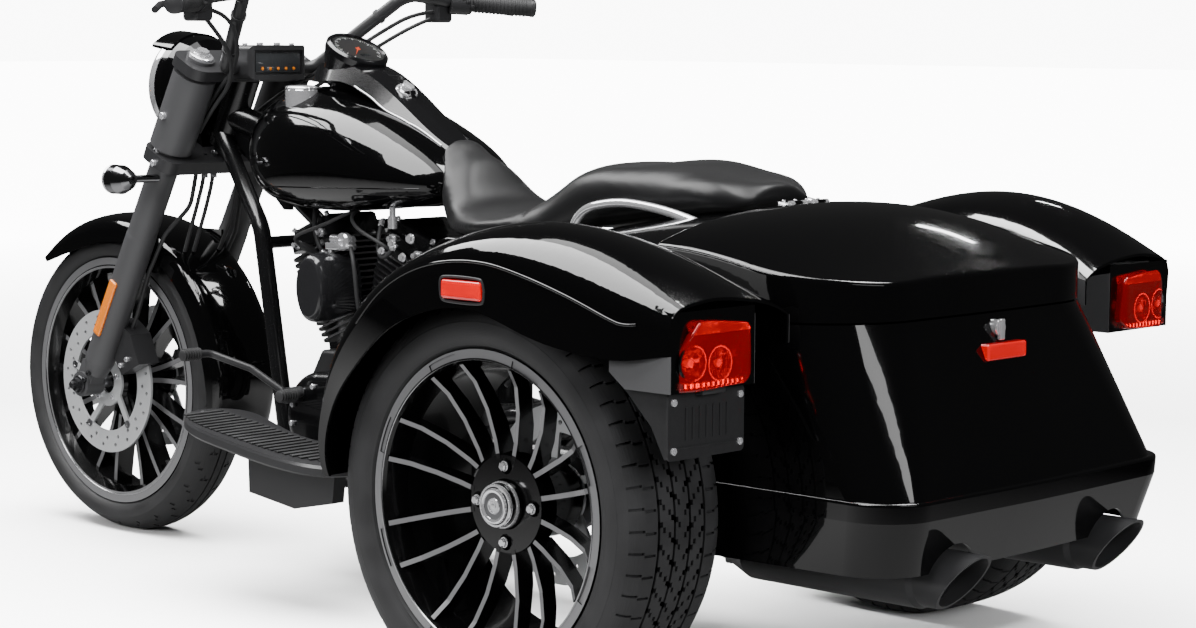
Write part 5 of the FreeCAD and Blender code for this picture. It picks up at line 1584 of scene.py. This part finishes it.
@dataclass
class BarTrim:
    """Grips' ribs, switches, lever screws, cables, instrument panel and mirror glass."""

    grip: tuple[Point, Point] = ((1022, 352.7, 1109.8), (946, 456.8, 1100.4))
    mirror: Point = (1056, 440, 1214)
    panel_x: float = 1199.5
    riser_x: float = 1229.0
    strap_ends: tuple[Point, Point] = ((1050, 208, 1126), (1225, 114, 978))

    def grips(self, shop: Workshop) -> None:
        """Ribs, inner flange and end cap of each grip.

        Args:
            shop: Makes and dresses the pieces.
        """
        ribs, caps = [], []
        for side in SIDES:
            start, end = (at(x, side * y, z) for x, y, z in self.grip)
            way = (end - start).normalized()
            length = (end - start).length / MM
            ribs.append(([(-1, 17), (-1, 23), (4, 23), (6, 18.5), (6, 17)], start, way, 40))
            for index in range(14):
                along = 14 + index * 7.6
                ribs.append(([(along - 2.4, 17.2), (along - 1.4, 18.8), (along + 1.4, 18.8), (along + 2.4, 17.2)],
                             start, way, 40))
            caps.append(([(length - 4, 17.8), (length - 3, 18.6), (length + 4, 18.2), (length + 7, 14),
                          (length + 8, 0)], start, way, 40))
        shop.lathe("grip_ribs", "rubber", ribs, body=Body.FORK)
        shop.lathe("grip_caps", "satin_black", caps, body=Body.FORK)

    def switches(self, shop: Workshop) -> None:
        """Switch buttons, clamp screws, reservoir lids and lever pivots.

        Args:
            shop: Makes and dresses the pieces.
        """
        keys, screws, lids = bmesh.new(), bmesh.new(), bmesh.new()
        for side in SIDES:
            for along, turn in ((0.25, 8), (0.5, 0), (0.75, -8)):
                base = at(1043 - 19 * along, side * (318 + 32 * along), 1112 - 2 * along)
                low = base + Vector((-31, -4, turn - 3)) * MM
                block(keys, low, low + Vector((7, 8, 6)) * MM, 1.2)
            for x, y in ((1050, 292), (1080, 292), (1050, 324), (1080, 324)):
                screw(screws, *shop.seat_on("hand_controls", at(x, side * y, 1200), -Z_WAY), 2.6, 1.6)
            block(lids, at(1047, side * 308 - 19, 1117), at(1083, side * 308 + 19, 1120), 1.4)
            nut(screws, at(1064, side * 322, 1110.5), Z_WAY, 6, 5)
        shop.piece("switch_keys", keys, "matte_plastic", "satin_black", Body.FORK)
        shop.piece("control_screws", screws, "bolt", "satin_black", Body.FORK)
        shop.piece("reservoir_lids", lids, "satin_black", body=Body.FORK)

    def mirrors(self, shop: Workshop) -> None:
        """Mirror glass with its rim, and the nut under each stem.

        Args:
            shop: Makes and dresses the pieces.
        """
        x, y, z = self.mirror
        nuts = bmesh.new()
        for side in SIDES:
            nut(nuts, at(1062, side * 306, 1117), Z_WAY, 8, 6)
        glass, rim = ([(profile, at(x, side * y, z), -X_WAY, 64) for side in SIDES] for profile in (
            [(0.4, 0), (0.6, 30), (0.4, 47.5), (-0.2, 48)], [(-1, 50.2), (1.2, 50.4), (1.6, 49), (0.2, 48)]))
        shop.lathe("mirror_glass", "mirror", glass, "chrome", Body.FORK)
        shop.lathe("mirror_rims", "satin_black", rim, body=Body.FORK, bm=nuts)

    def panel(self, shop: Workshop) -> None:
        """Screen with warning lamps in the riser cover's rear face, and its corner screws.

        Args:
            shop: Makes and dresses the pieces.
        """
        screen = block(bmesh.new(), at(self.panel_x, -57, 971), at(self.panel_x + 3.5, 57, 1009), 1.0)
        shop.piece("bar_screen", screen, "window_grey", "satin_black", Body.FORK)
        lamp = [(-0.5, 3.4), (0.8, 3.2), (1.2, 2), (1.2, 0)]
        shop.lathe("warning_lamps", "amber_lens", [(lamp, at(self.panel_x, y, 978), -X_WAY, 20)
                                                   for y in range(-40, 41, 20)], body=Body.FORK)
        bm = bmesh.new()
        for y, radius, height in ((-60, 5, 4), (60, 5, 4), (-22, 6.5, 5), (22, 6.5, 5)):
            screw(bm, *shop.seat_on("riser_cover", at(self.riser_x, y, 1100), -Z_WAY), radius, height)
        shop.piece("riser_screws", bm, "bolt", "satin_black", Body.FORK)

    def cables(self, shop: Workshop) -> None:
        """Hose and cables from the hand controls down to the headlamp, with their straps.

        Args:
            shop: Makes and dresses the pieces.
        """
        hose = ((1064, 296, 1080), (1086, 262, 1066), (1130, 176, 1010), (1200, 118, 950), (1290, 92, 900),
                (1350, 78, 850))
        cable = ((1052, 310, 1094), (1070, 250, 1090), (1100, 186, 1052), (1180, 120, 984), (1290, 84, 930),
                 (1356, 66, 880))
        routes, straps = [], []
        for side in SIDES:
            routes += [[at(x, side * y, z) for x, y, z in route] for route in (hose, cable)]
            start, end = (at(x, side * y, z) for x, y, z in self.strap_ends)
            straps += [([(-4, 13.2), (-4, 15.2), (4, 15.2), (4, 13.2)], start + (end - start) * along, end - start, 32)
                       for along in (0.3, 0.75)]
        shop.wires("bar_cables", "rubber", routes, 4.2, Body.FORK)
        shop.lathe("cable_straps", "rubber", straps, body=Body.FORK)

    def build(self, shop: Workshop) -> None:
        """Make the bar's fittings."""
        for make in (self.grips, self.switches, self.mirrors, self.panel, self.cables):
            make(shop)


@dataclass
class BodyTrim:
    """Fender beads, plate panel's ribs and screws, lamp pod panels, hinge, lock and side cover fittings."""

    bead: Pairs = ((205, 602), (172, 636), (130, 668), (78, 693), (24, 708), (-32, 715), (-80, 715), (-117, 711),
                   (-178, 698), (-225, 685), (-271, 670), (-324, 649), (-351, 640), (-372, 643))
    plate: Point = (-412.0, 566.0, 496.5)

    def beads(self, shop: Workshop) -> None:
        """The raised bead along the outer side of each rear fender."""
        routes = [shop.laid_on(fender(side), inward(side * 900, self.bead)) for side in (1, -1)]
        shop.wires("fender_beads", "gloss_black", routes, 2.4)

    def plate_holder(self, shop: Workshop) -> None:
        """Screws, stiffening ribs and a lamp over the blank plate panel.

        Args:
            shop: Makes and dresses the pieces.
        """
        px, py, pz = self.plate
        screws, ribs = bmesh.new(), bmesh.new()
        for y in (-73, 73):
            for z in (-35, 35):
                screw(screws, at(px, py + y, pz + z), -X_WAY, 5.5, 4)
        shop.piece("plate_screws", screws, "bolt", "steel")
        for y in range(-45, 46, 15):
            block(ribs, at(px - 1.6, py + y - 2.2, pz - 22), at(px + 0.5, py + y + 2.2, pz + 26), 0.8)
        block(ribs, at(px - 1.4, py - 66, pz - 34), at(px + 0.5, py + 66, pz - 31), 0.6)
        shop.piece("plate_ribs", ribs, "matte_plastic")
        lamp = block(bmesh.new(), at(px - 15, py - 26, 539), at(px + 2, py + 26, 549), 3.0)
        shop.piece("plate_lamp", lamp, "satin_black")

    def pod_panels(self, shop: Workshop) -> None:
        """Satin panels that close the flat sides of the lamp pods, below the painted part.

        Args:
            shop: Makes and dresses the pieces.
        """
        whole = bmesh.new()
        for side in (1, -1):
            for facing, near, far, rise in ((side, 650.0, 670.0, 0.0), (-side, 380.0, 480.0, 30.0)):
                bm = bmesh.new()
                bm.from_mesh(frame["nodes"][fender(side)].data)
                bmesh.ops.remove_doubles(bm, verts=bm.verts, dist=WELD)
                bm.normal_update()
                rest = [f for f in bm.faces if f.normal.y * facing < 0.98
                        or not near < abs(f.calc_center_median().y) / MM < far]
                bmesh.ops.delete(bm, geom=rest, context="FACES")
                for place, way in ((at(-305, 0, 0), X_WAY), (at(-357, 0, 606 + rise), Vector((0.2, 0, 1)))):
                    bmesh.ops.bisect_plane(bm, geom=[*bm.verts, *bm.edges, *bm.faces], plane_co=place, plane_no=way,
                                           clear_outer=True)
                bmesh.ops.translate(bm, verts=bm.verts, vec=Y_WAY * (facing * 0.8 * MM))
                bmesh.ops.solidify(bm, geom=bm.faces[:], thickness=0.8 * MM)
                part = bpy.data.meshes.new("panel")
                bm.to_mesh(part)
                bm.free()
                whole.from_mesh(part)
                bpy.data.meshes.remove(part)
        shop.piece("pod_panels", whole, "pod_satin", "satin_black")

    def small_parts(self, shop: Workshop) -> None:
        """Hinge screws, the lock's keyway, the liner on the trunk's floor and the side covers' screws.

        Args:
            shop: Makes and dresses the pieces.
        """
        rays = [(at(-126, y, 900), -Z_WAY) for y in (-45, -15, 15, 45)]
        shop.fasteners("hinge_screws", "lid_hinges", rays, 3.0)
        keyway = [(7.5, 13.2), (9.5, 12.4), (9.5, 9.5), (8.2, 9)]
        shop.lathe("lock_ring", "chrome", [(keyway, at(-520.1, 0, 600), -X_WAY, 40)])
        shop.piece("trunk_mat", block(bmesh.new(), at(-552, -300, 407), at(-124, 300, 410), 1.2), "rubber")
        rays = [ray for side in SIDES for ray in inward(side * 400, ((600, 636), (600, 486), (462, 600)))]
        shop.fasteners("side_cover_screws", "side_covers", rays, 5.0, "dark_bolt", "steel")

    def build(self, shop: Workshop) -> None:
        """Make the body's fittings."""
        for make in (self.beads, self.plate_holder, self.pod_panels, self.small_parts):
            make(shop)


@dataclass
class FootTrim:
    """Rubber pads on the footboards and pedals."""

    board: tuple[float, float] = (865.0, 292.0)
    tip: float = 7.0

    def on_board(self, x: float, y: float, z: float) -> Vector:
        """A place on the tipped board from its own flat axes.

        Args:
            x: Forward along the board.
            y: To the left.
            z: Up from the board.

        Returns:
            The place, in metres.
        """
        turn = math.radians(self.tip)
        return at(self.board[0] + x * math.cos(turn) - z * math.sin(turn), y,
                  self.board[1] + x * math.sin(turn) + z * math.cos(turn))

    def pads(self, shop: Workshop) -> None:
        """Ridges across each board, and its screws.

        Args:
            shop: Makes and dresses the pieces.
        """
        bm, screws = bmesh.new(), bmesh.new()
        up = self.on_board(0, 0, 1) - self.on_board(0, 0, 0)
        for side in SIDES:
            for x in range(-182, 193, 17):
                near, far = 268, 290 + 92 * (1 - (abs(x - 10) / 250) ** 4)
                corners = ((x - 4.5, near), (x + 4.5, near), (x + 4.5, far), (x - 4.5, far))
                tile(bm, *([self.on_board(cx, side * cy, z) for cx, cy in corners] for z in (20.5, 24.0)))
            for x, y in ((-196, 330), (196, 310)):
                screw(screws, self.on_board(x, side * y, 21), up, 5.0, 3)
        shop.piece("footboard_pads", bm, "rubber")
        shop.piece("footboard_screws", screws, "bolt", "steel")

    def pegs(self, shop: Workshop) -> None:
        """Ribbed rubbers on the shifter's two ends and on the brake pedal, and the shifter's nut.

        Args:
            shop: Makes and dresses the pieces.
        """
        bm = bmesh.new()
        for x in range(5):
            block(bm, at(1046 + x * 8.5, -354, 407.5), at(1050 + x * 8.5, -306, 411), 1.0)
        ribs = [knot for y in range(0, 36, 6) for knot in ((3 + y, 12), (5 + y, 12), (6 + y, 10))]
        profile = [(0, 6), (0, 11), *ribs, (40, 11), (42, 8), (42, 0)]
        shop.lathe("pedal_rubbers", "rubber", [(profile, at(x, 314, z), Y_WAY, 32)
                                               for x, z in ((1062, 449), (786, 398))], bm=bm)
        bm = bmesh.new()
        nut(bm, at(935, 214, 372), Y_WAY, 9, 6)
        shop.piece("shifter_nut", bm, "bolt", "steel")

    def build(self, shop: Workshop) -> None:
        """Make the foot controls' rubbers."""
        self.pads(shop)
        self.pegs(shop)


@dataclass
class RunningGear:
    """Shock springs, exhaust clamps, tip liners, belt teeth and caliper bolts."""

    pipe: Point = (-171.0, 212.0, 239.0)
    baffle: float = 374.0
    belt_run: float = 560.0
    pulleys: tuple[float, float] = (107.0, 47.0)
    teeth: int = 52

    def springs(self, shop: Workshop) -> None:
        """A coil around each shock absorber.

        Args:
            shop: Makes and dresses the pieces.
        """
        routes = []
        way = Vector((0.05, 0, 1)).normalized()
        across = way.cross(Y_WAY).normalized()
        for side in SIDES:
            foot = at(-30, side * 190, 350)
            route = []
            for step in range(81):
                turn = math.radians(step * 36)
                out = Y_WAY * math.cos(turn) + across * math.sin(turn)
                route.append(foot + way * ((40 + step * 1.55) * MM) + out * (38.5 * MM))
            routes.append(route)
        shop.wires("shock_springs", "chrome", routes, 4.5)

    def exhaust(self, shop: Workshop) -> None:
        """Clamps where the pipes enter the silencers, and a baffle inside each tip.

        Args:
            shop: Makes and dresses the pieces.
        """
        x, y, z = self.pipe
        nuts = bmesh.new()
        clamps, liners = [], []
        liner = [(372, 40.6), (374, 34), (380, 33), (400, 33), (402, 31), (380, 30), (374, 26), (374, 0)]
        hole = [(-0.4, 3.4), (0.6, 3.2), (0.6, 2.4), (-0.4, 2.2)]
        for side in SIDES:
            start = at(x, side * y, z)
            clamps.append(([(-16, 22.2), (-16, 26), (-2, 26), (-2, 22.2)], start, -X_WAY, 40))
            nut(nuts, start + Vector((9, 0, -27)) * MM, Y_WAY, 6, 9)
            liners.append((liner, start, -X_WAY, 56))
            liners += [(hole, at(x - self.baffle, across, up), -X_WAY, 12)
                       for across, up in ring(side * y, z, 18, range(0, 360, 30))]
        shop.lathe("exhaust_clamps", "steel", clamps, bm=nuts)
        shop.lathe("tip_liners", "dark_bolt", liners, "satin_black")

    def belt(self, shop: Workshop) -> None:
        """Teeth on the drive belt's outer side.

        Args:
            shop: Makes and dresses the pieces.
        """
        bm = bmesh.new()
        big, small = self.pulleys
        lean = math.asin((big - small) / self.belt_run)
        half = Vector((2.4, 11, 1.4)) * MM
        for index in range(self.teeth):
            along = 14 + index * 10.4
            share = along / self.belt_run
            radius = big + (small - big) * share
            for edge in (1, -1):
                middle = at(along + radius * math.sin(lean), 57,
                            325.4 + (330 - 325.4) * share + edge * radius * math.cos(lean))
                block(bm, middle - half, middle + half, 0.6, 1)
        shop.piece("belt_teeth", bm, "rubber")

    def calipers(self, shop: Workshop) -> None:
        """Bolts of the rear calipers.

        Args:
            shop: Makes and dresses the pieces.
        """
        rays = []
        for side in SIDES:
            for r, degrees in ((130, -16), (130, 16), (150, 0)):
                place = REAR + spoke(r, degrees)
                place.y = side * 0.3
                rays.append((place, Y_WAY * side))
        shop.fasteners("rear_caliper_bolts", "rear_calipers", rays, 6.0, slot="steel")

    def build(self, shop: Workshop) -> None:
        """Make the running gear's fittings."""
        for make in (self.springs, self.exhaust, self.belt, self.calipers):
            make(shop)


# Studio

@dataclass(frozen=True)
class SoftBox:
    """A rectangular light: its place, what it faces, the direction of its long side and its size in metres.

    Where it names a receiver, it lights that object alone.
    """

    name: str
    place: Point
    target: Point
    along: Point
    wide: float
    high: float
    power: float
    glossy: bool = True
    receiver: str = ""

    def light(self) -> None:
        """Create the light."""
        data = bpy.data.lights.new(self.name, "AREA")
        data.shape = "RECTANGLE"
        data.size = self.wide
        data.size_y = self.high
        data.energy = self.power
        light = bpy.data.objects.new(self.name, data)
        back = (Vector(self.place) - Vector(self.target)).normalized()
        side = Vector(self.along).cross(back).cross(back).normalized() * -1
        turn = Matrix((side, back.cross(side), back)).transposed().to_4x4()
        light.matrix_world = Matrix.Translation(self.place) @ turn
        bpy.context.scene.collection.objects.link(light)
        light.visible_camera = False
        light.visible_glossy = self.glossy
        if self.receiver:
            lit = bpy.data.collections.new("lit_" + self.receiver)
            lit.objects.link(frame["nodes"].get(self.receiver) or bpy.data.objects[self.receiver])
            light.light_linking.receiver_collection = lit


SOFT_BOXES = (
    SoftBox("overhead", (2.7, 0.8, 3.7), (2.7, 0.8, 0.0), (1, 0, 0), 3.6, 2.0, 283.0),
    SoftBox("overhead_side", (2.0, 2.55, 3.7), (2.0, 2.55, 0.0), (1, 0, 0), 2.2, 1.5, 130.0,
            receiver="rear_fender_left"),
    SoftBox("overhead_rear", (-0.1, 1.55, 3.7), (-0.1, 1.55, 0.0), (0, 1, 0), 3.5, 2.0, 275.0),
    SoftBox("overhead_edge", (0.1, -0.55, 3.7), (0.1, -0.55, 0.0), (1, 0, 0), 2.4, 0.7, 18.0),
    SoftBox("right_box", (0.1, -1.35, 3.7), (-0.9, -0.4, 0.7), (1, 0, 0), 1.2, 0.7, 60.0,
            receiver="rear_fender_right"),
    SoftBox("corner_strip", (-4.25, -0.05, 2.9), (-1.2, 0.3, 0.5), (-0.35, -1.65, -0.79), 2.0, 0.3, 10.0),
    SoftBox("left_strip", (0.9, 3.9, 3.3), (-0.6, 0.4, 0.7), (1, 0, 0), 3.0, 0.25, 45.0, receiver="trunk_lid"),
    SoftBox("back_box", (-1.0, -1.6, 3.8), (0.0, 0.0, 0.8), (1, 0, 0), 1.2, 1.0, 80.0),
    SoftBox("far_streak", (1.05, -4.16, 2.69), (-1.04, -0.06, 0.74), (1, 0, 0.3), 0.3, 0.05, 1.6),
    SoftBox("left_fill", (-0.6, 5.2, 2.4), (0.2, 0.0, 0.5), (1, 0, 0), 3.0, 2.0, 330.0, glossy=False),
    SoftBox("rear_fill", (-4.3, 0.9, 1.7), (-0.6, 0.3, 0.4), (0, 1, 0), 2.4, 1.4, 190.0, glossy=False),
    SoftBox("top_floor", (-0.4, 0.4, 6.0), (-0.4, 0.4, 0.0), (1, 0, 0), 7.0, 7.0, 3400.0, glossy=False,
            receiver="floor"),
)


@dataclass(frozen=True)
class Studio:
    """Camera at the photograph's angle, pale floor and soft lights."""

    eye: Point = (-2.9838, 3.5531, 1.0656)
    yaw: float = -46.978
    pitch: float = -5.830
    roll: float = 0.329
    lens: float = 82.80
    shift_y: float = -0.0061
    floor_size: float = 60.0
    patch_size: float = 2.6
    room: float = 0.03
    backdrop: float = 10.0
    boxes: Sequence[SoftBox] = SOFT_BOXES

    def camera(self) -> None:
        """Create the camera; its place is measured from the rear axle."""
        data = bpy.data.cameras.new("camera")
        data.lens = self.lens
        data.sensor_width = 36.0
        data.shift_y = self.shift_y
        data.clip_end = 200
        camera = bpy.data.objects.new("camera", data)
        turn = (Matrix.Rotation(math.radians(self.yaw - 90), 4, "Z")
                @ Matrix.Rotation(math.radians(90 + self.pitch), 4, "X")
                @ Matrix.Rotation(math.radians(self.roll), 4, "Z"))
        camera.matrix_world = Matrix.Translation(Vector(self.eye) + Vector((REAR.x, 0, 0))) @ turn
        bpy.context.scene.collection.objects.link(camera)
        bpy.context.scene.camera = camera

    def floor(self, shop: Workshop) -> None:
        """Create the pale floor, and the dim patch of it that the paint reflects.

        Args:
            shop: Makes and dresses the pieces.
        """
        for name, size, height in (("floor", self.floor_size, 0.0), ("floor_patch", self.patch_size, -0.002)):
            bm = bmesh.new()
            bmesh.ops.create_grid(bm, x_segments=1, y_segments=1, size=size, matrix=Matrix.Translation((0, 0, height)))
            mesh = bpy.data.meshes.new(name)
            bm.to_mesh(mesh)
            bm.free()
            mesh.materials.append(shop.materials[name])
            thing = bpy.data.objects.new(name, mesh)
            bpy.context.scene.collection.objects.link(thing)
            seen = name == "floor"
            thing.visible_camera = seen
            thing.visible_glossy = not seen
            thing.visible_diffuse = not seen
            thing.visible_shadow = False

    def world(self) -> None:
        """A white backdrop for the camera and a dark room for everything else."""
        world = bpy.data.worlds.new("world")
        world.use_nodes = True
        tree = world.node_tree
        path = tree.nodes.new("ShaderNodeLightPath")
        shade = tree.nodes.new("ShaderNodeMapRange")
        shade.inputs["To Min"].default_value = self.room
        shade.inputs["To Max"].default_value = self.backdrop
        tree.links.new(path.outputs["Is Camera Ray"], shade.inputs["Value"])
        tree.links.new(shade.outputs["Result"], tree.nodes["Background"].inputs["Strength"])
        tree.nodes["Background"].inputs["Color"].default_value = (1, 1, 1, 1)
        bpy.context.scene.world = world

    def build(self, shop: Workshop) -> None:
        """Create the camera, the floor, the world and the lights.

        Args:
            shop: Makes and dresses the pieces.
        """
        self.camera()
        self.floor(shop)
        self.world()
        for box in self.boxes:
            box.light()


# The whole trike

REAR_TYRE = dict(
    radius=325.2,
    side=((88.0, 228.6), (89.0, 246.5), (94.0, 249.5), (98.0, 252.0), (99.0, 257.0), (102.0, 261.0), (105.2, 270.0),
          (106.3, 279.0), (105.6, 289.0), (104.8, 290.0), (103.4, 298.0)),
    crown=((100.0, 306.5), (95.0, 313.0), (87.0, 318.0), (76.0, 321.3), (58.0, 323.6), (30.0, 324.9)),
    grooves=((51.0, 5.0), (17.0, 5.0)), groove_depth=6.5, steps=480, slot_depth=5.0,
    slots=(Slots(56.0, 99.0, 8, 0, 1, 1), Slots(37.0, 48.5, 8, 1, 2, 2), Slots(19.5, 31.0, 8, 5, 2, 2),
           Slots(4.0, 14.5, 8, 2, 2, 2)))
FRONT_TYRE = dict(
    radius=319.2,
    side=((45.5, 241.5), (46.0, 258.6), (52.0, 261.0), (56.0, 264.0), (62.0, 272.0), (64.6, 281.0), (63.0, 289.0)),
    crown=((58.0, 295.0), (48.0, 303.5), (36.0, 310.6), (24.0, 315.4), (12.0, 318.3)),
    grooves=((9.0, 4.0),), groove_depth=3.5, steps=300, slot_depth=3.0,
    slots=(Slots(14.0, 30.0, 10, 0, 1), Slots(34.0, 52.0, 10, 4, 2)))


def assemblies() -> list:
    """Everything that the trike gets beside its CAD nodes, in building order.

    Returns:
        The assemblies; each one's build makes its pieces.
    """
    return [
        WheelTrim(1, Body.LEFT_WHEEL, REAR), WheelTrim(-1, Body.RIGHT_WHEEL, REAR_RIGHT), FrontWheelTrim(),
        EngineTrim(), TankTrim(), LampTrim(), ForkTrim(), BarTrim(), BodyTrim(), FootTrim(), RunningGear(),
        Tyre("rear_tyre_left", Body.LEFT_WHEEL, REAR, **REAR_TYRE),
        Tyre("rear_tyre_right", Body.RIGHT_WHEEL, REAR_RIGHT, **REAR_TYRE),
        Tyre("front_tyre", Body.FRONT_WHEEL, FRONT, **FRONT_TYRE), Saddle(),
    ]


def main() -> None:
    """Build the scene."""
    logging.basicConfig(level=logging.INFO)
    shop = Workshop()
    Studio().build(shop)
    shop.dress()
    for assembly in assemblies():
        assembly.build(shop)


if __name__ == "__main__":
    main()
